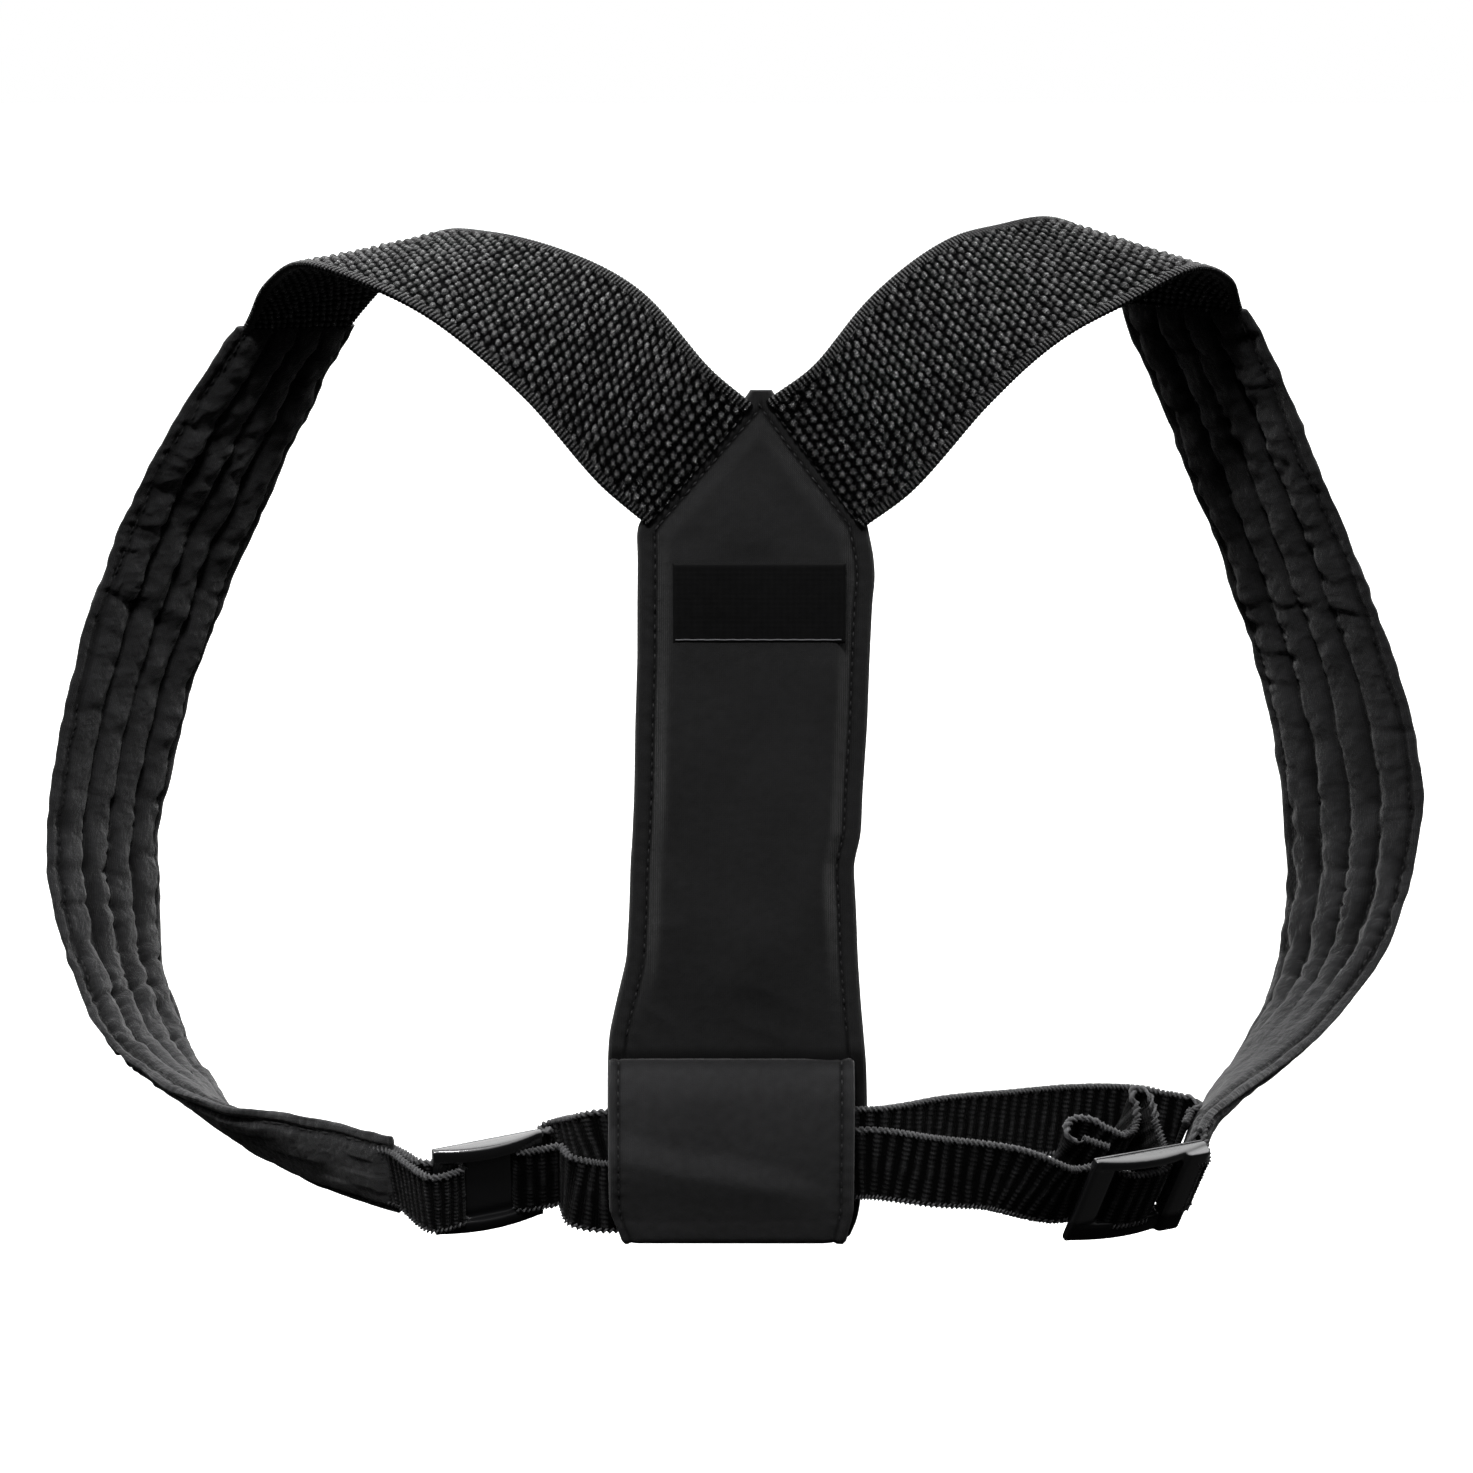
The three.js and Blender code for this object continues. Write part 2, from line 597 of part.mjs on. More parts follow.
// Loose end behind the slider, in the slider's axes: back is the distance behind its middle plane
const tail = table(['along', 'back', 'up'], [
  [11.4, 5.2, 0.2],
  [11.4, 10.5, 1.6],
  [11.5, 18, 5.2],
  [11.6, 22.5, 8],
  [10.9, 25, 9],
  [9.2, 26, 9.2],
  [7.5, 25, 9],
  [6.6, 22.5, 8],
  [5.2, 18.5, 6],
  [2.0, 13.6, 4],
  [-3.2, 11.8, 3.4],
  [-9.6, 15.0, 5],
  [-14.5, 18.4, 6.5],
  [-19.6, 19.2, 6.6],
  [-22.6, 17.2, 5.8],
  [-22.2, 14.6, 4.6],
  [-18.4, 12.4, 3.6],
  [-12, 9.2, 2.4],
]);

// The belt bends halfway between the tunnel and the left buckle, and lies on the slider's centre bar
const halfway = (foldHeight + buckle.centre.z) / 2;
const barEdge = sliderCentreBar / 2;

const belt = [
  sewn(3), sewn(8), sewn(13),
  ...rearStations,
  station(tunnelRight + 3, innerPass + 0.9, foldHeight - 30),
  station(tunnelRight - 12, innerPass, foldHeight - 30),
  station(tunnelLeft + 12, innerPass, foldHeight - 30.5),
  station(tunnelLeft - 1, innerPass + 0.3, foldHeight - 31),
  station(tunnelLeft - 9, 0.5, halfway - 12.3),
  buckle.place(buckleLength / 2 + 6, -wrap - 2.9),
  ...barTurn(buckle, buckleLength, 1),
  buckle.place(buckleLength / 2 + 5, wrap + 0.4),
  station(tunnelLeft - 12, outerPass + 3, halfway - 23.8),
  station(tunnelLeft - 3, outerPass + 0.9, foldHeight - 48),
  station(tunnelLeft + 10, outerPass, foldHeight - 47),
  station(tunnelRight - 12, outerPass, foldHeight - 37.5),
  station(tunnelRight, outerPass, foldHeight - 36),
  station(tunnelRight + 22, outerPass + 0.4, foldHeight - 39, vector(0.03, -0.04, 1)),
  station(tunnelRight + 44, outerPass + 1.6, foldHeight - 41.8, vector(0.1, -0.16, 1)),
  slider.place(-sliderLength / 2 - 7, -wrap - 1),
  slider.place(-sliderLength / 2 - 1, -wrap - 0.3),
  slider.place(-sliderLength / 2 + sliderEndBar, -wrap - 0.3),
  slider.place(-barEdge - 6.7, -0.6),
  slider.place(-barEdge - 3.1, 2),
  slider.place(-barEdge + 0.3, wrap),
  slider.place(0, wrap + 0.1),
  slider.place(barEdge - 0.3, wrap),
  slider.place(barEdge + 2.9, 1.6),
  slider.place(barEdge + 5.3, -1.4),
  ...tail.map((row) => slider.place(row.along, -row.back, row.up)),
];
addMesh('belt_webbing', webbingGeometry(belt, 3), 'webbing');

export default posture;
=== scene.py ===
import math
import bpy
import numpy as np
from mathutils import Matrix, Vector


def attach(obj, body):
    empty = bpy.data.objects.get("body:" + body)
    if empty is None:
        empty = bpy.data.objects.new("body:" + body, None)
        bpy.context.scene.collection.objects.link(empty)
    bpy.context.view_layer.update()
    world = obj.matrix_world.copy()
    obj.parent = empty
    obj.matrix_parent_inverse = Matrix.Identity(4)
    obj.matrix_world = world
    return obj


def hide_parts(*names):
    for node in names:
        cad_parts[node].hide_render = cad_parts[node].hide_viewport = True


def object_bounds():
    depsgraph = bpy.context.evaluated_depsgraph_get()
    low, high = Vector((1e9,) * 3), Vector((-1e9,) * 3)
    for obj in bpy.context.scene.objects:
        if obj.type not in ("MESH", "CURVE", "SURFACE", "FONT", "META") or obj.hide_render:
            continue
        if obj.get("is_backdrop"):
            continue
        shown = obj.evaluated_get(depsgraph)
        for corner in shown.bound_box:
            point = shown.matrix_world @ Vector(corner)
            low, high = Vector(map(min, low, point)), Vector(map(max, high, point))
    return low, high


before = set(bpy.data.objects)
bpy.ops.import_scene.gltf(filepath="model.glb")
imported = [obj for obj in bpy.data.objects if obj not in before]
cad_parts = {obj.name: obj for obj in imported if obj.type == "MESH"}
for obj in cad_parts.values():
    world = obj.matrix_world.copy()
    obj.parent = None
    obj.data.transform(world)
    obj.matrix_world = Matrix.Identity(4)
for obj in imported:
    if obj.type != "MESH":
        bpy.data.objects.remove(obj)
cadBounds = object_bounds()
mm = 0.001


# Numbers and small maths

def arr(*values):
    return np.array(values, float)


def unit(v):
    return v / np.maximum(np.linalg.norm(v, axis=-1, keepdims=True), 1e-9)


def smooth(low, high, value):
    share = np.clip((value - low) / (high - low), 0, 1)
    return share * share * (3 - 2 * share)


def bell(value, width):
    return np.exp(-(value / width) ** 2)


def rollOff(edge, radius, least):  # from least at the edge to 1, as a round edge of that radius
    return np.sqrt(np.clip(1 - (1 - np.clip(edge / radius, 0, 1)) ** 2, least, 1))


def scatter(i, j, seed=0.0):  # even pseudo-random value from 0 to 1 for whole numbers i and j
    mixed = np.sin(i * 12.9898 + j * 78.233 + seed * 37.719) * 43758.5453
    return mixed - np.floor(mixed)


def drift(x, y, seed=0.0):  # soft noise from -1 to 1, one lump for each unit of x and y
    x, y = np.broadcast_arrays(x, y)
    i, j = np.floor(x), np.floor(y)
    fx, fy = x - i, y - j
    fx, fy = fx * fx * (3 - 2 * fx), fy * fy * (3 - 2 * fy)
    low = scatter(i, j, seed) * (1 - fx) + scatter(i + 1, j, seed) * fx
    high = scatter(i, j + 1, seed) * (1 - fx) + scatter(i + 1, j + 1, seed) * fx
    return 2 * (low * (1 - fy) + high * fy) - 1


def easedColumn(rows, at, column):  # reads a table whose first column is the share along
    keys = [row[0] for row in rows]
    values = np.array([row[column] for row in rows], float)
    i = np.clip(np.searchsorted(keys, at, side="right") - 1, 0, len(keys) - 2)
    share = np.clip((at - np.take(keys, i)) / (np.take(keys, i + 1) - np.take(keys, i)), 0, 1)
    share = share * share * (3 - 2 * share)
    return values[i] * (1 - share) + values[i + 1] * share


def alongKnots(knots, t, even=False):  # curve through the knots, t from 0 to 1
    knots = np.asarray(knots, float)
    last = len(knots) - 1
    spread = np.vstack([2 * knots[0] - knots[1], knots, 2 * knots[-1] - knots[-2]])
    place = np.clip(np.atleast_1d(t), 0, 1) * last
    i = np.minimum(place.astype(int), last - 1)
    w = (place - i)[:, None]
    a, b, c, d = (spread[i + k] for k in range(4))
    if even:
        start, end = (c - a) / 2, (d - b) / 2
    else:
        ab, bc, cd = (np.sqrt(np.linalg.norm(q - p, axis=1))[:, None] for p, q in ((a, b), (b, c), (c, d)))
        start = ((b - a) / ab - (c - a) / (ab + bc) + (c - b) / bc) * bc
        end = ((c - b) / bc - (d - b) / (bc + cd) + (d - c) / cd) * bc
    w2, w3 = w * w, w * w * w
    return b * (2 * w3 - 3 * w2 + 1) + start * (w3 - 2 * w2 + w) + c * (3 * w2 - 2 * w3) + end * (w3 - w2)


def headingAt(knots, t):
    return unit(alongKnots(knots, np.minimum(t + 1e-4, 1)) - alongKnots(knots, np.maximum(t - 1e-4, 0)))


def measured(knots, samples=4000):  # share t for each distance along the knots' curve
    t = np.linspace(0, 1, samples)
    steps = np.linalg.norm(np.diff(alongKnots(knots, t), axis=0), axis=1)
    return t, np.concatenate([[0], np.cumsum(steps)])


# Meshes

def meshPiece(name, points, faces, uv=None, materials=(), faceMaterial=None, relief=None):
    mesh = bpy.data.meshes.new(name)
    mesh.from_pydata((points * mm).tolist(), [], [list(map(int, f)) for f in faces])
    mesh.update()
    if uv is not None:
        layer = mesh.uv_layers.new(name="cloth")
        corner = np.empty(len(mesh.loops), np.int64)
        mesh.loops.foreach_get("vertex_index", corner)
        layer.data.foreach_set("uv", (uv[corner] * mm).astype(np.float32).ravel())
    shade = mesh.attributes.new("relief", "FLOAT", "POINT")  # painted shade, with random tone on the elastic: 0 darkens gaps, seams and creases, 1 leaves the open cloth unshaded
    values = np.ones(len(points)) if relief is None else np.clip(relief, 0, 1)
    shade.data.foreach_set("value", values.astype(np.float32))
    mesh.polygons.foreach_set("use_smooth", np.ones(len(mesh.polygons), bool))
    for material in materials:
        mesh.materials.append(material)
    if faceMaterial is not None:
        mesh.polygons.foreach_set("material_index", np.asarray(faceMaterial, np.int32))
    piece = bpy.data.objects.new(name, mesh)
    bpy.context.scene.collection.objects.link(piece)
    return piece


def outward(points, faces):  # turns the faces over where they enclose a negative volume
    quads = np.array(faces)
    a, b, c, d = (points[quads[:, k]] for k in range(4))
    volume = np.einsum("ij,ij->i", a, np.cross(b, c)).sum() + np.einsum("ij,ij->i", a, np.cross(c, d)).sum()
    return quads if volume > 0 else quads[:, ::-1]


def gridFaces(rows, ring):
    i, k = np.meshgrid(np.arange(rows - 1), np.arange(ring), indexing="ij")
    after = (k + 1) % ring
    faces = np.stack([i * ring + k, i * ring + after, (i + 1) * ring + after, (i + 1) * ring + k], -1)
    return faces.reshape(-1, 4)


def cappedFaces(rows, ring):  # the same, closed at both ends
    k = np.arange(ring // 2 - 1)
    cap = np.stack([k, ring - 1 - k, ring - 2 - k, k + 1], -1)
    return np.vstack([gridFaces(rows, ring), cap, cap[:, ::-1] + (rows - 1) * ring])


# A closed strip. u and h hold a place across and a height for each row and each point of the ring,
# whose second half runs back under its first half.
def strip(route, u, h):
    point, across, outer, distance = route
    points = point[:, None] + across[:, None] * u[..., None] + outer[:, None] * h[..., None]
    uv = np.stack([u, np.broadcast_to(distance[:, None], u.shape)], -1)
    points = points.reshape(-1, 3)
    return points, outward(points, cappedFaces(*u.shape)), uv.reshape(-1, 2)


def tube(centre, side, lift, radii, around):  # tube along centre, its ends open
    angle = np.arange(around) / around * 2 * math.pi
    wide, thick = (np.broadcast_to(r, len(centre))[:, None, None] for r in radii)
    points = (centre[:, None] + side[:, None] * wide * np.cos(angle)[None, :, None]
              + lift[:, None] * thick * np.sin(angle)[None, :, None]).reshape(-1, 3)
    return points, gridFaces(len(centre), around)


class Heap:  # gathers many small closed forms into one mesh
    def __init__(self):
        self.points, self.faces, self.uv, self.kinds, self.relief, self.count = [], [], [], [], [], 0

    def add(self, points, faces, uv=None, kind=0, relief=None):
        self.points.append(points)
        self.relief.append(np.ones(len(points)) if relief is None else relief)
        self.faces += [[int(v) + self.count for v in f] for f in faces]
        self.uv.append(np.zeros((len(points), 2)) if uv is None else uv)
        self.kinds += [kind] * len(faces)
        self.count += len(points)

    def piece(self, name, materials):
        return meshPiece(name, np.vstack(self.points), self.faces, np.vstack(self.uv), materials, self.kinds,
                         np.concatenate(self.relief))


def addStitches(heap, centre, along, normal, look, kind):  # one short bowed thread for each centre
    length, radius, sink = look["stitchLength"], look["threadRadius"], look["threadSink"]
    shape = arr(-1, -0.7, 0, 0.7, 1)
    around = 5
    angle = np.arange(around) / around * 2 * math.pi
    for c, t, n in zip(centre, unit(along), unit(normal)):
        s = unit(np.cross(n, t))
        rise = sink * (0.9 - 1.7 * shape ** 2)
        thick = radius * arr(0.3, 0.85, 1.05, 0.85, 0.3)
        core = c + t * (shape * length / 2)[:, None] + n * rise[:, None]
        points = (core[:, None] + s * (thick[:, None] * np.cos(angle))[..., None]
                  + n * (thick[:, None] * np.sin(angle))[..., None]).reshape(-1, 3)
        faces = gridFaces(len(shape), around).tolist()
        faces += [list(range(around))[::-1], [len(points) - around + k for k in range(around)]]
        first = points[faces[0]]
        facesIn = np.dot(np.cross(first[1] - first[0], first[2] - first[0]), first[0] - core[0]) < 0
        heap.add(points, [f[::-1] for f in faces] if facesIn else faces, kind=kind)


# Effects that several materials share

def wire(tree, a, b):
    tree.links.new(a, b)


def newNode(tree, kind, place, **settings):
    made = tree.nodes.new(kind)
    made.location = place
    for key, value in settings.items():
        setattr(made, key, value)
    return made


def mathNode(tree, operation, place, a, b=None):
    made = newNode(tree, "ShaderNodeMath", place, operation=operation)
    for socket, value in zip(made.inputs, (a, b)):
        if value is None:
            continue
        if isinstance(value, (int, float)):
            socket.default_value = value
        else:
            wire(tree, value, socket)
    return made.outputs[0]


def rangeNode(tree, place, value, low, high, source=(0, 1)):
    made = newNode(tree, "ShaderNodeMapRange", place)
    wire(tree, value, made.inputs["Value"])
    for label, number in zip(("From Min", "From Max", "To Min", "To Max"), (*source, low, high)):
        made.inputs[label].default_value = number
    return made.outputs[0]


def greyNode(tree, place, value):
    made = newNode(tree, "ShaderNodeCombineColor", place)
    for socket in made.inputs:
        wire(tree, value, socket)
    return made.outputs[0]


def multiplyNode(tree, place, factor, colour, other):
    made = newNode(tree, "ShaderNodeMix", place, data_type="RGBA", blend_type="MULTIPLY")
    made.inputs[0].default_value = factor
    wire(tree, colour, made.inputs[6])
    wire(tree, other, made.inputs[7])
    return made.outputs[2]


def bumpNode(tree, place, height, strength, distance, normal=None):
    made = newNode(tree, "ShaderNodeBump", place)
    made.inputs["Strength"].default_value = strength
    made.inputs["Distance"].default_value = distance
    wire(tree, height, made.inputs["Height"])
    if normal is not None:
        wire(tree, normal, made.inputs["Normal"])
    return made.outputs[0]


def newMaterial(name):
    material = bpy.data.materials.new(name)
    material.use_nodes = True
    return material, material.node_tree, material.node_tree.nodes["Principled BSDF"]


def newGroup(name, inputs, outputs):
    group = bpy.data.node_groups.new(name, "ShaderNodeTree")
    for label, kind, value in inputs:
        socket = group.interface.new_socket(label, in_out="INPUT", socket_type="NodeSocket" + kind)
        if value is not None:
            socket.default_value = value
    for label, kind in outputs:
        group.interface.new_socket(label, in_out="OUTPUT", socket_type="NodeSocket" + kind)
    return group, newNode(group, "NodeGroupInput", (-900, 0)), newNode(group, "NodeGroupOutput", (700, 0))


# Crossing threads: Height for a Bump node, Shade from 0 in the gaps to 1 on the threads
def makeWeave():
    group, given, result = newGroup(
        "threadWeave",
        [("Vector", "Vector", None), ("Across", "Float", 1500), ("Along", "Float", 1500),
         ("Slant", "Float", 0.0), ("Fuzz", "Float", 0.3)],
        [("Height", "Float"), ("Shade", "Float")])
    split = newNode(group, "ShaderNodeSeparateXYZ", (-700, 100))
    wire(group, given.outputs["Vector"], split.inputs[0])
    turn = 2 * math.pi
    x = mathNode(group, "MULTIPLY", (-500, 200), split.outputs[0], given.outputs["Across"])
    y = mathNode(group, "MULTIPLY", (-500, 0), split.outputs[1], given.outputs["Along"])
    lean = mathNode(group, "MULTIPLY", (-340, 0), x, given.outputs["Slant"])
    leaned = mathNode(group, "ADD", (-260, 0), y, lean)
    warp = mathNode(group, "SINE", (-60, 200), mathNode(group, "MULTIPLY", (-180, 200), x, turn))
    weft = mathNode(group, "SINE", (-60, 0), mathNode(group, "MULTIPLY", (-180, 0), leaned, turn))
    both = mathNode(group, "ADD", (80, 120), warp, weft)
    speck = newNode(group, "ShaderNodeTexNoise", (-60, -200))
    speck.inputs["Scale"].default_value = 2600
    speck.inputs["Detail"].default_value = 3
    wire(group, given.outputs["Vector"], speck.inputs["Vector"])
    centred = mathNode(group, "SUBTRACT", (100, -200), speck.outputs["Fac"], 0.5)
    fuzz = mathNode(group, "MULTIPLY", (220, -160), centred, given.outputs["Fuzz"])
    quiet = mathNode(group, "MULTIPLY", (220, 60), both, 0.25)
    height = mathNode(group, "ADD", (380, 0), quiet, mathNode(group, "MULTIPLY", (340, -200), fuzz, 4))
    wire(group, height, result.inputs["Height"])
    wire(group, mathNode(group, "ADD", (540, -80), height, 0.5), result.inputs["Shade"])
    return group


# Uneven shade of worn or handled cloth: a mask from 0 to 1 at two sizes of lump
def makeMottle():
    group, given, result = newGroup(
        "softMottle",
        [("Vector", "Vector", None), ("Large", "Float", 25), ("Small", "Float", 240),
         ("Contrast", "Float", 1.6)],
        [("Mask", "Float")])
    parts = []
    for label, place, detail in (("Large", (-500, 150), 2), ("Small", (-500, -150), 4)):
        lump = newNode(group, "ShaderNodeTexNoise", place)
        lump.inputs["Detail"].default_value = detail
        wire(group, given.outputs["Vector"], lump.inputs["Vector"])
        wire(group, given.outputs[label], lump.inputs["Scale"])
        parts.append(mathNode(group, "SUBTRACT", (-300, place[1]), lump.outputs["Fac"], 0.5))
    total = mathNode(group, "ADD", (-120, 0), parts[0], parts[1])
    spread = mathNode(group, "MULTIPLY", (40, 0), total, given.outputs["Contrast"])
    mask = mathNode(group, "ADD", (200, 0), spread, 0.5)
    clamp = newNode(group, "ShaderNodeClamp", (360, 0))
    wire(group, mask, clamp.inputs["Value"])
    wire(group, clamp.outputs[0], result.inputs["Mask"])
    return group


threadWeave = makeWeave()
softMottle = makeMottle()


def placeGroup(tree, group, place, vector, **values):
    made = newNode(tree, "ShaderNodeGroup", place, node_tree=group)
    wire(tree, vector, made.inputs["Vector"])
    for label, value in values.items():
        made.inputs[label].default_value = value
    return made


def clothMaterial(name, look):
    material, tree, shader = newMaterial(name)
    where = newNode(tree, "ShaderNodeTexCoord", (-1100, 0)).outputs[look["space"]]
    weave = placeGroup(tree, threadWeave, (-800, -200), where, Across=look["across"], Along=look["along"],
                       Slant=look["slant"], Fuzz=look["fuzz"])
    mask = placeGroup(tree, softMottle, (-800, 200), where, Large=look["lump"], Small=look["grain"],
                      Contrast=look["contrast"]).outputs["Mask"]
    worn = newNode(tree, "ShaderNodeMix", (-500, 250), data_type="RGBA")
    wire(tree, mask, worn.inputs[0])
    worn.inputs[6].default_value = (*look["dark"], 1)
    worn.inputs[7].default_value = (*look["light"], 1)
    threads = multiplyNode(tree, (-250, 250), look["threadShade"], worn.outputs[2],
                           greyNode(tree, (-450, 0), weave.outputs["Shade"]))
    # painted shade: the attribute darkens the colour and damps the gloss in gaps, seams and creases
    relief = newNode(tree, "ShaderNodeAttribute", (-500, 500), attribute_name="relief").outputs["Fac"]
    hollow = rangeNode(tree, (-250, 500), relief, look["hollow"], 1)
    wire(tree, multiplyNode(tree, (0, 300), 1, threads, greyNode(tree, (-60, 500), hollow)),
         shader.inputs["Base Color"])
    gleam = mathNode(tree, "MULTIPLY", (0, 100), hollow, look["specular"])
    wire(tree, gleam, shader.inputs["Specular IOR Level"])
    wire(tree, rangeNode(tree, (-250, 0), mask, look["rough"] - 0.08, look["rough"] + 0.05),
         shader.inputs["Roughness"])
    crumple = bumpNode(tree, (-450, -400), mask, look["crumple"], look["crumpleDepth"])
    wire(tree, bumpNode(tree, (-250, -250), weave.outputs["Height"], look["bump"], look["depth"], crumple),
         shader.inputs["Normal"])
    shader.inputs["Sheen Weight"].default_value = look["sheen"]
    shader.inputs["Sheen Roughness"].default_value = look["sheenRough"]
    return material


# dark and light are the cloth's two greys, across and along its threads for each metre
def clothLook(dark, light, across, along, **other):
    look = dict(dark=(dark, dark, dark * 1.05), light=(light, light, light * 1.05), across=across,
                along=along, slant=1.0, fuzz=0.5, lump=22, grain=300, contrast=1.5, threadShade=0.55,
                rough=0.86, bump=0.5, depth=0.00022, sheen=0.2, sheenRough=0.45, specular=0.12, hollow=0.15,
                crumple=0.0, crumpleDepth=0.0007, space="UV")
    look.update(other)
    return look


clothLooks = {
    "panelTwill": clothLook(0.0045, 0.0125, 1650, 1650, crumple=0.35),
    "flapTwill": clothLook(0.010, 0.024, 1650, 1650, crumple=0.3),
    "quiltCloth": clothLook(0.014, 0.037, 1500, 1500, slant=-1.0, fuzz=0.6, lump=18, contrast=1.7, sheen=0.3,
                            crumple=0.9),
    "elasticKnit": clothLook(0.006, 0.026, 1100, 900, slant=0.6, fuzz=0.9, lump=60, grain=600, contrast=2.2,
                             threadShade=0.6, rough=0.24, bump=0.8, depth=0.0003, sheen=0.0, specular=1.0,
                             hollow=0.01),
    "beltKnit": clothLook(0.004, 0.034, 640, 1300, slant=0.0, fuzz=0.8, lump=60, grain=600, contrast=2.2,
                          threadShade=0.7, rough=0.62, bump=0.8, depth=0.0003, sheen=0.04, specular=0.15,
                          hollow=0.03),
    "tabKnit": clothLook(0.013, 0.06, 640, 1300, slant=0.0, fuzz=0.8, lump=60, grain=600, contrast=2.2,
                         threadShade=0.7, rough=0.6, bump=0.8, depth=0.0003, sheen=0.08, specular=0.25,
                         hollow=0.04),
    "edgeCord": clothLook(0.02, 0.10, 900, 900, slant=0.7, fuzz=0.6, lump=60, grain=700, contrast=2.2,
                          rough=0.55, bump=0.6, sheen=0.1, specular=0.4, hollow=0.05),
    "labelWeave": clothLook(0.002, 0.004, 500, 2600, slant=0.0, fuzz=0.25, threadShade=0.4, rough=0.7,
                            bump=0.3, depth=0.0001, sheen=0.02, specular=0.05),
    "labelEdge": clothLook(0.07, 0.13, 900, 900, slant=0.5, lump=60, grain=500, rough=0.6, bump=0.4,
                           depth=0.0001, sheen=0.05),
    "seamThread": clothLook(0.005, 0.014, 2200, 2200, slant=0.5, lump=60, grain=900, rough=0.6, bump=0.3,
                            depth=0.00008, sheen=0.03, specular=0.2, space="Object"),
}
cloth = {name: clothMaterial(name, look) for name, look in clothLooks.items()}


def plasticMaterial():
    look = {"colour": (0.0042, 0.0042, 0.0045, 1), "rough": 0.17, "lump": 60, "grain": 900, "contrast": 1.5,
            "bump": 0.12, "depth": 0.0001, "specular": 0.5, "coat": 0.25}
    material, tree, shader = newMaterial("glossPlastic")
    where = newNode(tree, "ShaderNodeTexCoord", (-1000, 0)).outputs["Object"]
    mask = placeGroup(tree, softMottle, (-760, 100), where, Large=look["lump"], Small=look["grain"],
                      Contrast=look["contrast"]).outputs["Mask"]
    wire(tree, rangeNode(tree, (-500, 100), mask, look["rough"] - 0.05, look["rough"] + 0.08),
         shader.inputs["Roughness"])
    wire(tree, bumpNode(tree, (-500, -200), mask, look["bump"], look["depth"]), shader.inputs["Normal"])
    shader.inputs["Base Color"].default_value = look["colour"]
    # painted shade: the attribute damps the gloss and coat where the frame is sheltered
    relief = newNode(tree, "ShaderNodeAttribute", (-700, 400), attribute_name="relief").outputs["Fac"]
    for label, value, place in (("Specular IOR Level", look["specular"], (-300, 400)),
                                ("Coat Weight", look["coat"], (-300, 300))):
        wire(tree, mathNode(tree, "MULTIPLY", place, relief, value), shader.inputs[label])
    return material


glossPlastic = plasticMaterial()
print("materials ready")


# The shoulder straps' routes, in millimetres

sizes = {
    "panelWidth": 74, "panelLength": 282, "panelThickness": 6.6,
    "tunnelHeight": 64, "tunnelBack": 3, "tunnelDepth": 6.4, "flapWall": 2.4, "flapWidth": 80,
    "elasticWidth": 50, "selvedge": 3.3, "padWidth": 59, "padThickness": 8.6,
    "webbingWidth": 25, "webbingThickness": 2, "tabWidth": 23, "loopDepth": 140, "loopDrop": 248,
    "beltSag": 45, "seamTuck": 5, "padTuck": 12, "tabTuck": 7,
}

# up, left, right and edge thickness of the panel's outline, as shares
panelRows = [
    (0.068, 0.03, 0.06, 0.85), (0.059, 0.053, 0.081, 0.85), (0.015, 0.199, 0.199, 0.85),
    (-0.03, 0.346, 0.330, 0.85), (-0.074, 0.489, 0.461, 0.85), (-0.087, 0.511, 0.468, 0.6),
    (-0.115, 0.507, 0.492, 0.5), (-0.142, 0.508, 0.501, 0.5), (-0.17, 0.510, 0.490, 0.5),
    (-0.235, 0.512, 0.481, 0.5), (-0.31, 0.523, 0.474, 0.5), (-0.391, 0.530, 0.457, 0.5),
    (-0.44, 0.539, 0.452, 0.5), (-0.476, 0.549, 0.421, 0.5), (-0.53, 0.556, 0.434, 0.5),
    (-0.59, 0.570, 0.444, 0.5), (-0.64, 0.615, 0.458, 0.5), (-0.68, 0.648, 0.472, 0.5),
]
# the same below the fold: height above the bottom as a share of the tunnel's height, left, right
tunnelRows = [
    (1, 0.655, 0.481), (0.93, 0.657, 0.486), (0.7, 0.66, 0.492), (0.35, 0.652, 0.482),
    (0.1, 0.625, 0.455), (0, 0.59, 0.42),
]
panelTop = panelRows[0][0] * sizes["panelLength"]
panelBottom = panelTop - sizes["panelLength"]
foldHeight = panelBottom + sizes["tunnelHeight"]

# out, front and up as shares of the loop's reach, depth and drop, then the width's swing and tip in degrees
leftRows = [
    (0.230, 0.107, 0.125, 22, -40), (0.342, 0.235, 0.188, 36, -24), (0.440, 0.345, 0.216, 34, -15),
    (0.520, 0.457, 0.223, 28, -9), (0.595, 0.680, 0.172, 32, -4), (0.665, 0.835, 0.085, 52, 5),
    (0.765, 0.890, -0.068, 47, 5), (0.867, 0.945, -0.260, 50, 13), (0.955, 0.985, -0.488, 53, 14),
    (0.996, 0.980, -0.688, 58, 14), (0.974, 0.895, -0.848, 63, 13), (0.918, 0.736, -0.932, 66, 15),
    (0.844, 0.570, -0.968, 70, 22), (0.765, 0.390, -0.985, 80, 38), (0.655, 0.240, -0.990, 88, 60),
    (0.580, 0.150, -0.990, 85, 70), (0.504, 0.064, -0.992, 80, 76),
]
rightRows = [
    (0.250, 0.096, 0.120, 18, -43), (0.356, 0.229, 0.184, 30, -35), (0.450, 0.340, 0.211, 25, -27),
    (0.545, 0.457, 0.227, 16, -18), (0.612, 0.620, 0.198, 26, -11), (0.672, 0.800, 0.117, 46, 3),
    (0.770, 0.886, -0.063, 50, 10), (0.881, 0.950, -0.282, 47, 13), (0.972, 0.990, -0.502, 41, 12),
    (1.000, 0.993, -0.687, 43, 14), (0.964, 0.905, -0.843, 46, 17), (0.865, 0.730, -0.935, 56, 18),
    (0.780, 0.550, -0.962, 67, 24), (0.714, 0.357, -0.975, 76, 40), (0.680, 0.215, -0.994, 80, 60),
]


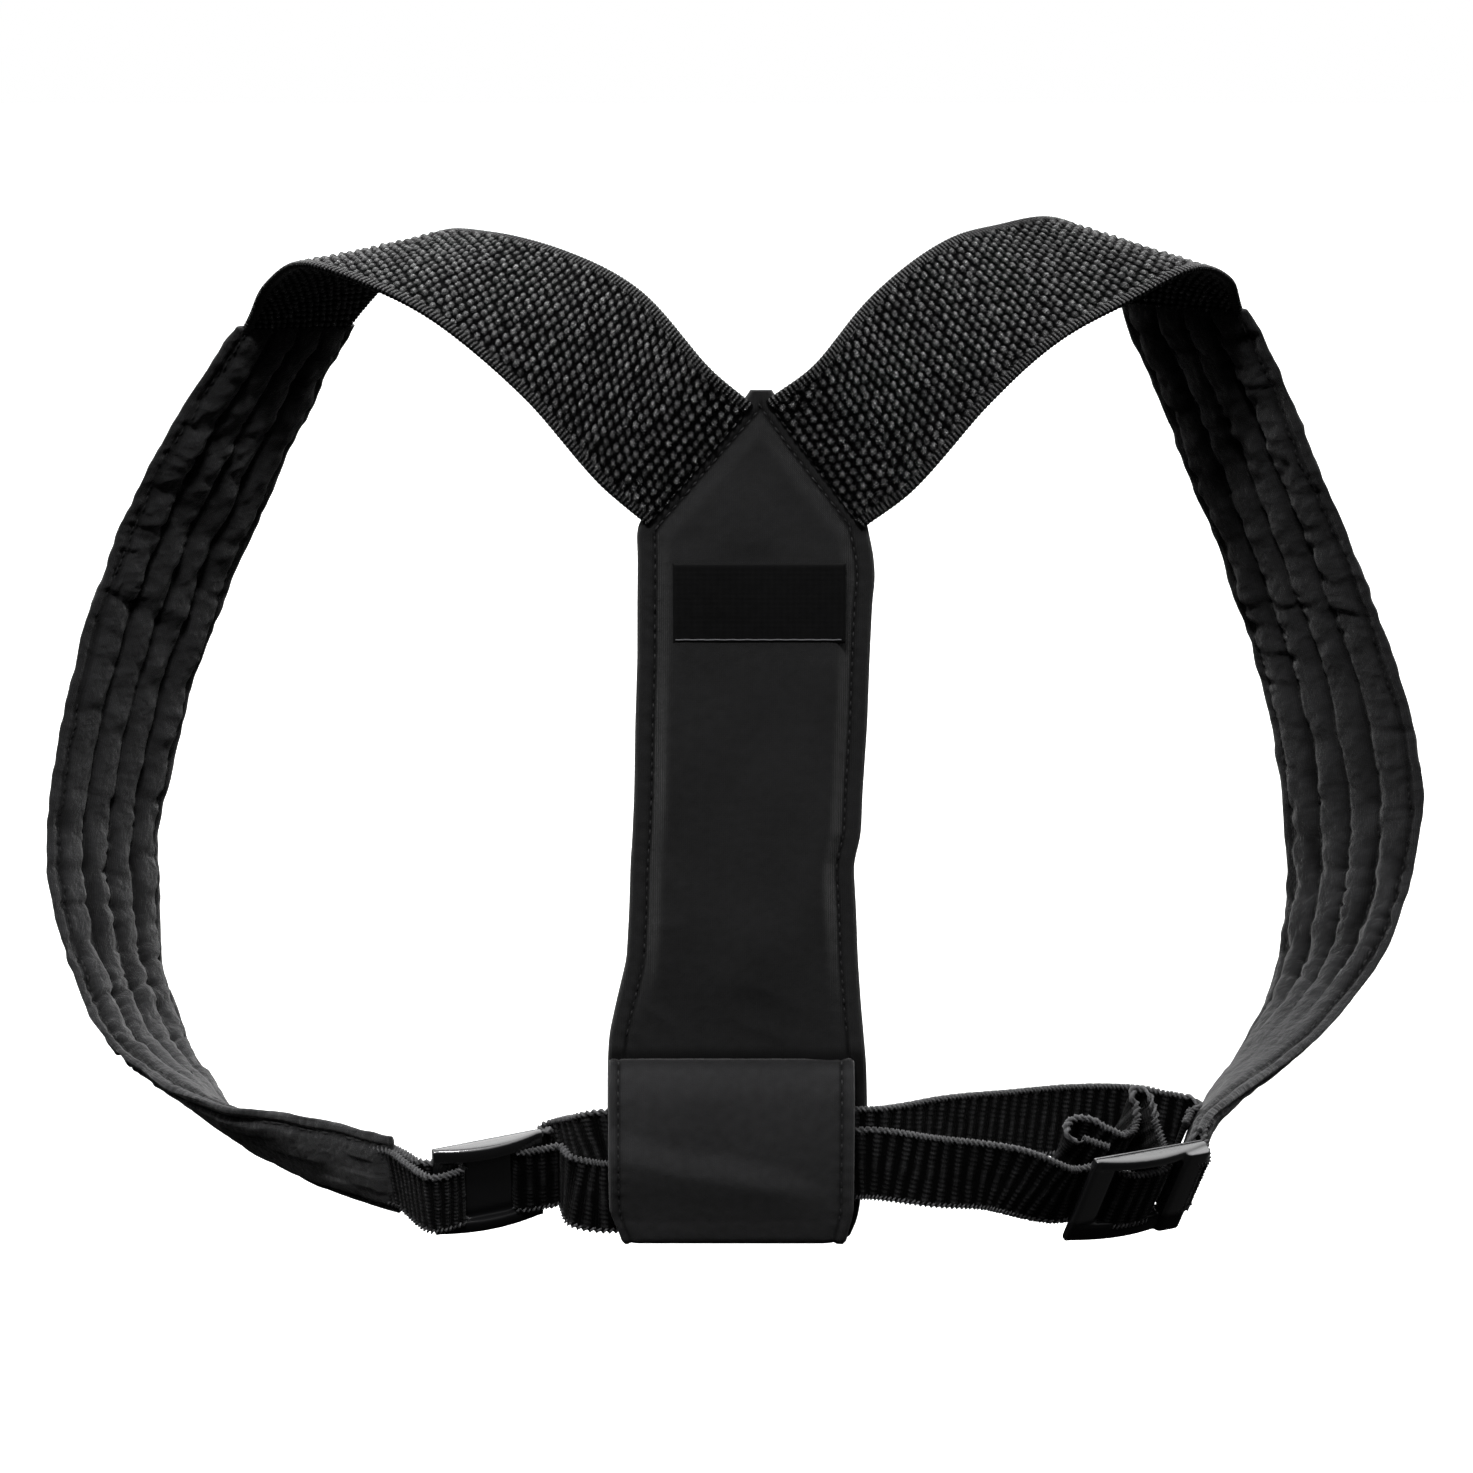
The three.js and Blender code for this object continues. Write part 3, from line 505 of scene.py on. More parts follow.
def shoulderRoute(side, rows, reach, elasticLength):
    column = 1 if side < 0 else 2
    corner = lambda row: arr(side * row[column] * sizes["panelWidth"], -sizes["panelThickness"] / 2,
                             row[0] * sizes["panelLength"])
    neck, arm = corner(panelRows[1]), corner(panelRows[4])
    seam, seamAcross = (neck + arm) / 2, unit(arm - neck)
    leave = unit(arr(-side * seamAcross[2], 0, side * seamAcross[0]))
    leave = -leave if leave[2] < 0 else leave
    knots = [seam + leave * along for along in (-sizes["seamTuck"], 0, 0.3 * sizes["elasticWidth"])]
    widths = [seamAcross] * 3
    for out, front, up, swing, tip in rows:
        knots.append(arr(side * out * reach, front * sizes["loopDepth"], up * sizes["loopDrop"]))
        swing, tip = math.radians(swing), math.radians(tip)
        level = math.cos(tip)
        widths.append(arr(side * level * math.cos(swing), -level * math.sin(swing), math.sin(tip)))
    t, distance = measured(knots)
    return {"side": side, "knots": np.array(knots), "widths": np.array(widths), "t": t, "distance": distance,
            "length": distance[-1], "padStart": sizes["seamTuck"] + elasticLength}


def routeAt(route, distance):  # points, tangents, width and outer directions
    t = np.interp(distance, route["distance"], route["t"])
    tangent = headingAt(route["knots"], t)
    across = unit(alongKnots(route["widths"], t, even=True))
    outer = unit(np.cross(across, tangent)) * route["side"]
    return alongKnots(route["knots"], t), tangent, across, outer


leftRoute = shoulderRoute(-1, leftRows, 238, 214)
rightRoute = shoulderRoute(1, rightRows, 218, 200)


# Elastic straps

elasticLook = {
    "rowStep": 0.5, "columnStep": 0.58,  # mesh spacing
    "knotAlong": 3.0, "knotAcross": 2.9,
    "knotWide": 0.46, "knotLong": 0.34,  # half sizes as shares of the pitches
    "knotSlant": 0.35,
    "knotHeight": 1.0, "core": 0.45,     # core is half the cloth's thickness in the gaps
    "ribPitch": 1.5, "ribHeight": 0.34, "ribScallop": 0.3, "ribCore": 0.45,
    "jitter": 0.22, "leastKnot": 0.6, "wave": 0.5, "edgeRoll": 1.0,
    "toneAcross": 1.45, "toneAlong": 1.5, "toneLow": 0.3,  # patches of darker and lighter knots
}


def knots(u, v, look, seed):  # staggered knots of the elastic, height from 0 to 1
    row = np.floor(v / look["knotAlong"])
    shifted = u / look["knotAcross"] + 0.5 * np.mod(row, 2)
    column = np.floor(shifted)
    du, dv = shifted - column - 0.5, v / look["knotAlong"] - row - 0.5
    du = du + look["jitter"] * (scatter(column, row, seed) - 0.5)
    dv = dv + look["jitter"] * (scatter(column, row, seed + 5) - 0.5) + look["knotSlant"] * du
    size = look["leastKnot"] * (1 + scatter(column, row, seed + 3))
    return np.clip(1 - (du / look["knotWide"]) ** 2 - (dv / look["knotLong"]) ** 2, 0, 1) ** 0.6 * size


def makeElastic(name, route, seed):
    look = elasticLook
    half, selvedge = sizes["elasticWidth"] / 2, sizes["selvedge"]
    distance = np.arange(2.0, route["padStart"] + sizes["padTuck"] - 1, look["rowStep"])
    point, _, across, outer = routeAt(route, distance)
    inner = half - selvedge
    rim = arr(0, 0.28, 0.9, 1.7, 2.5, 3.1)
    u = np.concatenate([-half + rim, np.arange(-inner + 0.2, inner, look["columnStep"]), half - rim[::-1]])
    u, v = np.meshgrid(u, distance)
    edge = half - np.abs(u)
    inSelvedge = smooth(selvedge + 0.3, selvedge - 0.5, edge)
    rib = 0.5 + 0.5 * np.cos(2 * math.pi * v / look["ribPitch"])
    rolled = rollOff(edge, look["edgeRoll"], 0.04)
    wave = look["wave"] * drift(v / 23, u / 30, seed) * smooth(0, 25, v)
    patch = scatter(np.floor(u / look["toneAcross"]), np.floor(v / look["toneAlong"]), seed)
    tone = look["toneLow"] + (1 - look["toneLow"]) * patch

    def face(sign):
        knot = knots(u, v, look, seed + sign)
        ribs = look["ribCore"] + look["ribHeight"] * rib
        raised = look["knotHeight"] * knot * (1 - inSelvedge) + ribs * inSelvedge
        # painted shade: knot tops light and the gaps between them dark, times the random tone; the selvedge
        # is darker between its ribs and halved
        shade = smooth(0.15, 0.85, knot) * tone * (1 - inSelvedge) + 0.5 * smooth(0.2, 0.9, rib) * inSelvedge
        return sign * (look["core"] + raised) * rolled + wave, shade

    scallop = np.sign(u) * look["ribScallop"] * rib * smooth(1.6, 0, edge)
    ringU = np.hstack([u + scallop, (u + scallop)[:, ::-1]])
    (top, topShade), (under, underShade) = face(1), face(-1)
    ringH = np.hstack([top, under[:, ::-1]])
    points, faces, uv = strip((point, across, outer, distance), ringU, ringH)
    shade = np.hstack([topShade, underShade[:, ::-1]]).ravel()
    return meshPiece(name, points, faces, uv, [cloth["elasticKnit"]], relief=shade)


elasticPieces = {
    "elastic_strap_left": makeElastic("leftElastic", leftRoute, 1.0),
    "elastic_strap_right": makeElastic("rightElastic", rightRoute, 2.0),
}
print("elastic straps ready")


# Quilted straps

quiltLook = {
    "rowStep": 1.15, "columnStep": 1.1,
    "channels": 4, "hem": 4.0,         # hem is the flat edge outside the outermost stitch line
    "hemHalf": 1.7, "grooveHalf": 2.5,  # half thickness at the hem and in the stitch grooves
    "fullness": 0.42, "grooveDepth": 0.85, "grooveWidth": 0.95, "plainFrom": 0.7,
    "stitchPitch": 3.4, "stitchLength": 2.5, "threadRadius": 0.28, "threadSink": 0.22,
    "puff": 0.13, "lump": 1.2, "creaseDepth": 2.2, "wander": 0.55, "ragged": 0.6, "shift": 0.6,
    "lumpLost": (0.4, 0.45),           # how much flatter the lumps get under the arm and in the plain part
}
# share along, width and thickness shares
padRows = [
    (0, 0.93, 0.72), (0.02, 0.98, 0.95), (0.08, 1, 1), (0.54, 1, 1), (0.64, 0.88, 1), (0.74, 0.72, 1),
    (0.86, 0.57, 1), (1, 0.5, 0.9),
]


def quiltShape(endWidth, share):  # half width and thickness share for each row
    taper = (1 - easedColumn(padRows, share, 1)) / (1 - padRows[-1][1])
    half = (sizes["padWidth"] * (1 - taper) + endWidth * taper) / 2
    return half, easedColumn(padRows, share, 2)


def stitchPlaces(half):  # places across of the stitch lines: two hems and the lines between channels
    hem = np.minimum(quiltLook["hem"], half * 0.22)
    inner = half - hem
    return [inner * (2 * k / quiltLook["channels"] - 1) for k in range(quiltLook["channels"] + 1)]


def quiltHeight(u, v, half, thick, share, seed, sign):
    look = quiltLook
    places = stitchPlaces(half)
    quilted = smooth(look["plainFrom"] + 0.1, look["plainFrom"], share)
    whole = np.clip((u - places[0][:, None]) / (places[-1] - places[0])[:, None], 0, 1)
    whole = np.sin(math.pi * whole) ** look["fullness"]
    crest = sizes["padThickness"] / 2 * thick
    height = np.full_like(u, look["hemHalf"])
    gap = np.full_like(u, 99.0)
    for k, place in enumerate(places):
        faded = 0 if k in (0, len(places) - 1) else 9 * (1 - quilted)
        gap = np.minimum(gap, np.abs(u - place[:, None]) + faded)
        if k == len(places) - 1:
            continue
        low, high = places[k][:, None], places[k + 1][:, None]
        inside = (u >= low) & (u <= high)
        c = np.clip((u - low) / np.maximum(high - low, 1e-6), 0, 1)
        swell = np.sin(math.pi * c) ** look["fullness"]
        puff = 1 + look["puff"] * drift(v / 12, np.full_like(u, 5.0 * k), seed + sign)
        height = np.where(inside, look["grooveHalf"] + (crest[:, None] * puff - look["grooveHalf"])
                          * (swell * quilted + whole * (1 - quilted)), height)
    outside = np.maximum(np.abs(u) - places[-1][:, None], 0)
    hem = (half - places[-1])[:, None]
    roll = np.sqrt(np.clip(1 - np.clip(outside / hem, 0, 1) ** 2.4, 0.05, 1))
    flat = look["hemHalf"] * (0.82 + 0.18 * smooth(0, 0.5, outside / hem)) * roll + 0.02
    height = np.where(outside > 0, flat, height)
    groove = bell(gap, look["grooveWidth"])
    height = height - look["grooveDepth"] * groove * np.where(outside > 0, 0.3, 1)
    return height, gap, outside > 0


def valleys(along, across, seed, width=0.3):  # sharp creases, from 0 on open cloth to 1 in a crease
    return np.clip(1 - np.abs(drift(along, across, seed)) / width, 0, 1) ** 1.3


# Wrinkles across the strap, gathered towards the stitch lines: a height, and how deep the creases are
def quiltWrinkles(u, v, gap, share, seed):
    look = quiltLook
    calm = smooth(0, 0.03, share) * smooth(1.0, 0.95, share)
    bend = 0.7 + 0.6 * bell(share - 0.62, 0.14) + 0.4 * bell(share - 0.14, 0.12)
    lean = u * 0.3 * drift(v / 50, u * 0, seed + 7) + 2.5 * drift(v / 16, u / 9, seed + 8)
    lumps = 0.6 * drift((v + lean) / 8.5, u / 9, seed) + 0.55 * drift((v - lean) / 4.0, u / 5, seed + 2)
    near = 0.5 + 0.5 * bell(gap, 3.4)
    crease = valleys((v + lean) / 11.5, u / 22, seed + 5, 0.42) * near
    fine = valleys((v + 1.4 * lean) / 5.5, u / 9, seed + 3, 0.45) * bell(gap, 3.2)
    patch = 0.7 + 0.5 * drift(v / 30, u / 20, seed + 13)
    deep = calm * bend * patch * (crease + 0.9 * fine)
    plain = smooth(look["plainFrom"] - 0.02, look["plainFrom"] + 0.08, share)
    lostUnder, lostPlain = look["lumpLost"]
    lumps = lumps * (look["lump"] - lostUnder * smooth(0.35, 0.5, share) - lostPlain * plain)
    return calm * bend * lumps - look["creaseDepth"] * deep * (1 - 0.7 * plain), deep * (1 - 0.6 * plain)


def makeQuilt(name, route, endWidth, seed):
    look = quiltLook
    start, total = route["padStart"], route["length"] - route["padStart"]
    distance = np.linspace(start, route["length"], int(total / look["rowStep"]))
    share = (distance - start) / total
    half, thick = quiltShape(endWidth, share)
    point, tangent, across, outer = routeAt(route, distance)
    count = int(sizes["padWidth"] / look["columnStep"])
    a = np.linspace(-1, 1, count)
    a = np.sign(a) * (1 - (1 - np.abs(a)) ** 1.15)
    u = half[:, None] * a[None, :]
    v = np.broadcast_to(distance[:, None], u.shape)
    shareGrid = np.broadcast_to(share[:, None], u.shape)

    def wander(along, aside):  # the stitch lines aren't quite straight
        return look["wander"] * drift(along / 13, aside / 20, seed + 15) * smooth(0, 40, along - start)

    ends = (0.55 + 0.45 * smooth(0, 0.012, shareGrid)) * (0.6 + 0.4 * smooth(1, 0.985, shareGrid))
    sides, shades = [], []
    for sign in (1, -1):
        height, gap, hem = quiltHeight(u + wander(v, u), v, half, thick, shareGrid, seed, sign)
        wrinkle, deep = quiltWrinkles(u, v, gap, shareGrid, seed + 3 * sign)
        wrinkle = wrinkle * np.where(hem, 0.5, 1)
        # painted shade: darker in the stitch grooves and in the creases
        shades.append(1 - 0.85 * bell(gap, 0.9) - 0.8 * np.clip(deep, 0, 1))
        sides.append(np.maximum((height + wrinkle) * ends, 0.35))
    ragged = drift(v / 11, np.sign(u), seed + 9) + 0.6 * drift(v / 4.5, np.sign(u), seed + 10)
    waveEdge = look["ragged"] * ragged * smooth(0.8, 1, np.abs(u) / half[:, None])
    shift = look["shift"] * drift(v / 17, u / 30, seed + 11)
    u2 = u + waveEdge
    ringU = np.hstack([u2, u2[:, ::-1]])
    ringH = np.hstack([sides[0] + shift, (-sides[1] + shift)[:, ::-1]])
    points, faces, uv = strip((point, across, outer, distance), ringU, ringH)
    heap = Heap()
    heap.add(points, faces, uv, relief=np.hstack([shades[0], shades[1][:, ::-1]]).ravel())
    stitchAt = np.arange(start + 3, route["length"] - 2, look["stitchPitch"])
    allRows = np.round(np.interp(stitchAt, distance, np.arange(len(distance)))).astype(int)
    places = stitchPlaces(half)
    for sign, side in ((1, sides[0]), (-1, sides[1])):
        for k, place in enumerate(places):
            inner = 0 < k < len(places) - 1
            rowOf = allRows[share[allRows] < (look["plainFrom"] + 0.05 if inner else 2)]
            x = place[rowOf] - wander(distance[rowOf], place[rowOf])
            column = np.round(np.interp(x / half[rowOf], a, np.arange(count))).astype(int)
            rise = side[rowOf, column] * sign + shift[rowOf, column]
            centre = point[rowOf] + across[rowOf] * (x + waveEdge[rowOf, column])[:, None]
            centre = centre + outer[rowOf] * rise[:, None]
            addStitches(heap, centre, tangent[rowOf], outer[rowOf] * sign, look, kind=1)
    return heap.piece(name, [cloth["quiltCloth"], cloth["seamThread"]])


quiltPieces = {
    "padded_strap_left": makeQuilt("leftQuiltedStrap", leftRoute, 31, 21.0),
    "padded_strap_right": makeQuilt("rightQuiltedStrap", rightRoute, 27, 33.0),
}
print("quilted straps ready")


# Back panel

labelLook = {
    "width": 54, "height": 25.5, "thickness": 0.35, "drop": 47, "lift": 0.15, "columns": 92, "rows": 46,
    "endFold": 0.06, "ribHeight": 0.035, "ribPitch": 0.9, "wave": 0.07, "thread": (0.24, 0.2),
}
panelLook = {
    "rowStep": 1.4, "columns": 58, "backGap": 0.15, "least": 0.8,
    "hem": 5.6, "edgeThickness": 3.2, "grooveDepth": 0.9, "pucker": (0.3, 0.3),
    "bow": 1.8, "foldBow": -4.6, "lump": 1.2, "smallLump": 0.6, "ridge": 0.5,
    "stitchPitch": 3.2, "stitchLength": 2.4, "threadRadius": 0.3, "threadSink": 0.2,
}


def panelOutline():  # the outline's two sides above the fold, as x and z
    width, length = sizes["panelWidth"], sizes["panelLength"]
    left = [(-row[1] * width, row[0] * length) for row in panelRows if row[0] * length > foldHeight + 3]
    right = [(row[2] * width, row[0] * length) for row in panelRows if row[0] * length > foldHeight + 3]
    return left, right


def edgeDistance(x, z, line):  # distance from each point to an open line
    best = np.full(x.shape, 1e3)
    for (ax, az), (bx, bz) in zip(line, line[1:]):
        dx, dz = bx - ax, bz - az
        t = np.clip(((x - ax) * dx + (z - az) * dz) / (dx * dx + dz * dz), 0, 1)
        best = np.minimum(best, np.hypot(x - ax - t * dx, z - az - t * dz))
    return best


def sideAt(values, z):  # one side's x at heights z
    keys = np.array([p[1] for p in values][::-1])
    xs = np.array([p[0] for p in values][::-1])
    return np.interp(z, keys, xs)


def makePanel():
    look = panelLook
    left, right = panelOutline()
    width, height = sizes["panelWidth"], sizes["tunnelHeight"]
    low = [(-row[1] * width, panelBottom + row[0] * height) for row in tunnelRows]
    lowRight = [(row[2] * width, panelBottom + row[0] * height) for row in tunnelRows]
    leftAll, rightAll = left + low, right + lowRight
    z = np.arange(panelBottom + 0.3, panelTop, look["rowStep"])
    z = np.append(z, panelTop)
    xLeft, xRight = sideAt(leftAll, z), sideAt(rightAll, z)
    kernel = np.hanning(9) / np.hanning(9).sum()
    for line in (xLeft, xRight):
        line[4:-4] = np.convolve(line, kernel, "valid")
    a = np.linspace(0, 1, look["columns"])
    a = a - 0.2 / math.pi * np.sin(2 * math.pi * a)  # finer towards both edges
    x = xLeft[:, None] + (xRight - xLeft)[:, None] * a[None, :]
    zz = np.broadcast_to(z[:, None], x.shape)
    gap = np.minimum(*(edgeDistance(x, zz, list(zip(line, z))) for line in (xLeft, xRight)))
    thin = smooth(foldHeight + 2, foldHeight - 6, zz)
    full = sizes["panelThickness"] * (1 - thin) + sizes["tunnelBack"] * thin
    roll = rollOff(gap, 1.5, 0)
    edge = look["edgeThickness"] * (0.35 + 0.65 * roll)
    body = smooth(look["hem"] - 0.2, look["hem"] + 6, gap)
    rise = edge + (full - look["edgeThickness"]) * body
    bow = look["bow"] * bell(zz + 120, 60)
    bow = bow + look["foldBow"] * smooth(foldHeight + 48, foldHeight - 2, zz)
    rise = rise + bow * body * (1 - thin)
    rise = np.where(thin > 0.5, sizes["tunnelBack"] * (0.4 + 0.6 * roll), rise)
    groove = bell(gap - look["hem"], 0.75) * (1 - thin)
    rise = rise - look["grooveDepth"] * groove
    along = zz + 0.6 * x
    pucker = np.sin(2 * math.pi * (along / 6.5 + 0.7 * drift(along / 20, x / 30, 3.0)))
    pucker = pucker * (0.35 + 0.65 * drift(zz / 26, x / 60, 4.0) ** 2 * 2)
    nearHem = bell(gap - look["hem"], 3.4)
    leftSide = smooth(10, -20, x)
    rise = rise + (look["pucker"][0] + look["pucker"][1] * leftSide) * pucker * nearHem * (1 - thin)
    labelWide, labelHigh = labelLook["width"] / 2, labelLook["height"] / 2
    underLabel = smooth(labelWide + 7, labelWide, np.abs(x))
    underLabel = underLabel * smooth(labelHigh + 8, labelHigh, np.abs(zz + labelLook["drop"]))
    lumps = look["lump"] * drift(x / 24, zz / 34, 6.0) + look["smallLump"] * drift(x / 10, zz / 18, 7.0)
    lumps = lumps + look["ridge"] * valleys((zz + 0.4 * x) / 26, x / 40, 16.0, 0.3) * smooth(-60, -130, zz)
    rise = rise + lumps * body * (1 - underLabel)
    rise = np.maximum(rise, look["least"])
    front = np.stack([x, -rise, zz], -1)
    back = np.stack([x, np.full_like(x, -look["backGap"]), zz], -1)
    points = np.concatenate([front, back[:, ::-1]], 1).reshape(-1, 3)
    # painted shade: darker in the stitch groove, in the pucker valleys and around the fold
    shade = 1 - 0.9 * groove - 0.35 * np.clip(-pucker, 0, 1) * nearHem
    shade = shade - 0.6 * thin * smooth(foldHeight - 12, foldHeight - 4, zz)
    shade = shade - 0.8 * smooth(foldHeight + 4, foldHeight, zz)
    heap = Heap()
    heap.add(points, outward(points, cappedFaces(len(z), 2 * look["columns"])), points[:, [0, 2]],
             relief=np.hstack([shade, np.ones_like(shade)]).ravel())
    addPanelStitches(heap, leftAll, rightAll, x, zz, rise)
    return heap.piece("paddedBackPanel", [cloth["panelTwill"], cloth["seamThread"]])


def addPanelStitches(heap, left, right, x, zz, rise):
    look = panelLook
    for side, line in ((-1, left), (1, right)):
        keep = [p for p in line if p[1] > foldHeight + 1]
        fine = np.array(keep, float)
        step = np.concatenate([[0], np.cumsum(np.hypot(*np.diff(fine, axis=0).T))])
        at = np.arange(1.5, step[-1], look["stitchPitch"])
        fine = np.stack([np.interp(at, step, fine[:, 0]), np.interp(at, step, fine[:, 1])], -1)
        run = unit(np.gradient(fine, axis=0))
        inward = np.stack([-run[:, 1], run[:, 0]], -1) * (1 if side < 0 else -1)
        spot = fine + inward * look["hem"]
        spot = spot[(spot[:, 0] * side > -1.0) | (spot[:, 1] < panelTop - 25)]
        run = unit(np.gradient(spot, axis=0))
        row = np.clip(np.round((spot[:, 1] - zz[0, 0]) / look["rowStep"]), 0, len(zz) - 1).astype(int)
        column = np.array([np.argmin(np.abs(x[r] - s)) for r, s in zip(row, spot[:, 0])])
        y = -rise[row, column]
        centre = np.stack([spot[:, 0], y, spot[:, 1]], -1)
        along = np.stack([run[:, 0], np.zeros(len(run)), run[:, 1]], -1)
        addStitches(heap, centre, along, np.broadcast_to(arr(0, -1, 0), along.shape), look, kind=1)


panelPiece = makePanel()
print("back panel ready")


# Tunnel flap

flapLook = {
    "rowStep": 0.9, "columns": 74, "leftHem": 3.2, "rightHem": 4.2, "hemRise": 0.25, "grooveDepth": 0.5,
    "bulge": 2.2, "creaseHeight": 3.2, "drape": 0.5, "pucker": 0.14, "taper": (4, 2.4),
    "stitchPitch": 3.2, "stitchLength": 2.4, "threadRadius": 0.3, "threadSink": 0.18, "stitchedTo": 0.8,
}


def makeFlap():
    look = flapLook
    wall, depth, back = sizes["flapWall"], sizes["tunnelDepth"], sizes["tunnelBack"]
    start = sizes["panelThickness"] + 0.3 + wall / 2
    front = back + depth + wall / 2
    foot = panelBottom + wall / 2
    high = sizes["tunnelHeight"]
    knotsYz = [
        (-back + 0.6, foldHeight - 2.2), (-back - 1.8, foldHeight - 3.2), (-start + 0.4, foldHeight - 6.6),
        (-front + 0.9, foldHeight - 0.17 * high), (-front, foldHeight - 0.3 * high),
        (-front, foldHeight - 0.7 * high), (-front + 0.3, foldHeight - 0.88 * high),
        (-front + 0.3 * depth, foot + 0.6), (-front + 0.6 * depth, foot), (-back - 0.3, foot),
    ]
    path = [arr(0, y, z) for y, z in knotsYz]
    t, length = measured(path)
    distance = np.linspace(0, length[-1], int(length[-1] / look["rowStep"]))
    at = np.interp(distance, length, t)
    point = alongKnots(path, at)
    tangent = headingAt(path, at)
    point[:, 0] = -0.65 * sizes["panelWidth"] + sizes["flapWidth"] / 2
    across = np.tile(arr(1, 0, 0), (len(distance), 1))
    outer = unit(np.cross(tangent, across))
    share = distance / distance[-1]
    leftCut, rightCut = (cut * smooth(0.72, 0.95, share) for cut in look["taper"])
    leftEdge, rightEdge = -sizes["flapWidth"] / 2 + leftCut, sizes["flapWidth"] / 2 - rightCut
    a = np.linspace(0, 1, look["columns"])
    u = leftEdge[:, None] + (rightEdge - leftEdge)[:, None] * a[None, :]
    v = np.broadcast_to(distance[:, None], u.shape)
    fromLeft, fromRight = u - leftEdge[:, None], rightEdge[:, None] - u
    edge = np.minimum(fromLeft, fromRight)
    roll = rollOff(edge, 1.3, 0.06)
    half = wall / 2
    hemGap = np.minimum(np.abs(fromLeft - look["leftHem"]), np.abs(fromRight - look["rightHem"]))
    inHem = np.maximum(smooth(look["leftHem"] + 0.6, look["leftHem"] - 0.6, fromLeft),
                       smooth(look["rightHem"] + 0.6, look["rightHem"] - 0.6, fromRight))
    grid = np.broadcast_to(share[:, None], u.shape)
    drape = look["drape"] * drift(u / 30 + v / 55, v / 40, 12.0)
    drape = drape * smooth(0, 0.15, grid) * smooth(0.95, 0.8, grid)
    fallLine = v - 27 - 0.28 * (u + 40) - 2.5 * drift(u / 18, u * 0, 15.0)
    crease = look["creaseHeight"] * smooth(-7, 4, fallLine) * smooth(60, 32, v) * smooth(44, 10, u)
    crease = crease + look["bulge"] * np.sin(math.pi * np.clip(grid / 0.8, 0, 1))
    pucker = np.sin(2 * math.pi * (v / 5.5 + 0.6 * drift(v / 15, u / 20, 14.0)))
    pucker = look["pucker"] * pucker * bell(hemGap, 2.5)
    groove = look["grooveDepth"] * bell(hemGap, 0.7)
    top = (half + look["hemRise"] * inHem - groove) * roll + drape + crease + pucker
    under = half * roll - drape - crease * 0.8
    ringU, ringH = np.hstack([u, u[:, ::-1]]), np.hstack([top, -under[:, ::-1]])
    points, faces, uv = strip((point, across, outer, distance), ringU, ringH)
    heap = Heap()
    # painted shade: darker in the hem grooves and along the top edge under the fold
    shade = 1 - 0.85 * bell(hemGap, 0.8) - 0.7 * smooth(5, 0.5, v)
    heap.add(points, faces, uv, relief=np.hstack([shade, np.ones_like(shade)]).ravel())
    stitchAt = np.arange(2.0, distance[-1] * look["stitchedTo"], look["stitchPitch"])
    rows = np.round(stitchAt / look["rowStep"]).astype(int)
    for hem, sign in ((look["leftHem"], 1), (look["rightHem"], -1)):
        base = (leftEdge if sign > 0 else rightEdge)[rows] + sign * hem
        shareAcross = (base - leftEdge[rows]) / (rightEdge - leftEdge)[rows]
        column = np.round(np.clip(shareAcross, 0, 1) * (look["columns"] - 1)).astype(int)
        centre = point[rows] + across[rows] * base[:, None] + outer[rows] * top[rows, column][:, None]
        addStitches(heap, centre, tangent[rows], outer[rows], look, kind=1)
    return heap.piece("beltTunnelFlap", [cloth["flapTwill"], cloth["seamThread"]]), distance[-1]


flapPiece, flapLength = makeFlap()
print("tunnel flap ready, cut", sizes["flapWidth"], "by", round(flapLength, 1), "mm")


# Bare woven label


def makeLabel():
    look = labelLook
    half = arr(look["width"] / 2, look["height"] / 2)
    centre = arr(0.008 * sizes["panelWidth"], -sizes["panelThickness"] - 0.3, -look["drop"])
    across, up = (np.linspace(-1, 1, count) for count in (look["columns"], look["rows"]))
    x, z = np.meshgrid(across * half[0], up * half[1])
    edge = np.minimum(half[0] - np.abs(x), half[1] - np.abs(z))
    roll = rollOff(edge, 0.5, 0.1)
    fold = look["endFold"] * smooth(2.6, 2.0, half[0] - np.abs(x))
    rib = look["ribHeight"] * np.sin(2 * math.pi * z / look["ribPitch"])
    wave = look["wave"] * drift(x / 12, z / 10, 30.0)
    front = (look["thickness"] + fold + rib) * roll + wave + look["lift"]
    back = np.stack([x, np.full_like(x, 0.25), z], -1)
    points = np.concatenate([np.stack([x, -front, z], -1), back[:, ::-1]], 1).reshape(-1, 3) + centre
    heap = Heap()
    heap.add(points, outward(points, cappedFaces(look["rows"], 2 * look["columns"])), points[:, [0, 2]])
    bottom = np.arange(-half[0] + 0.8, half[0] - 0.8, 0.5)
    sag = 0.05 * np.sin(bottom * 1.3)
    ahead = np.full_like(bottom, -look["thickness"] - 0.28)
    line = np.stack([bottom, ahead, -half[1] + 1.1 + sag], -1) + centre
    side = np.tile(arr(0, 0, 1), (len(line), 1))
    lift = np.tile(arr(0, -1, 0), (len(line), 1))
    ropePoints, ropeFaces = tube(line, side, lift, look["thread"], 6)
    heap.add(ropePoints, outward(ropePoints, ropeFaces), kind=1)
    return heap.piece("bareWovenLabel", [cloth["labelWeave"], cloth["labelEdge"]])


labelPiece = makeLabel()
print("label ready")


# Buckles

# What both share. barShort is how much shorter a bar is than the frame is high.
buckleLook = {"bar": 3.0, "rail": 4.4, "bulge": 3.0, "barShort": 1.2, "voxel": 0.42, "smoothing": 6}
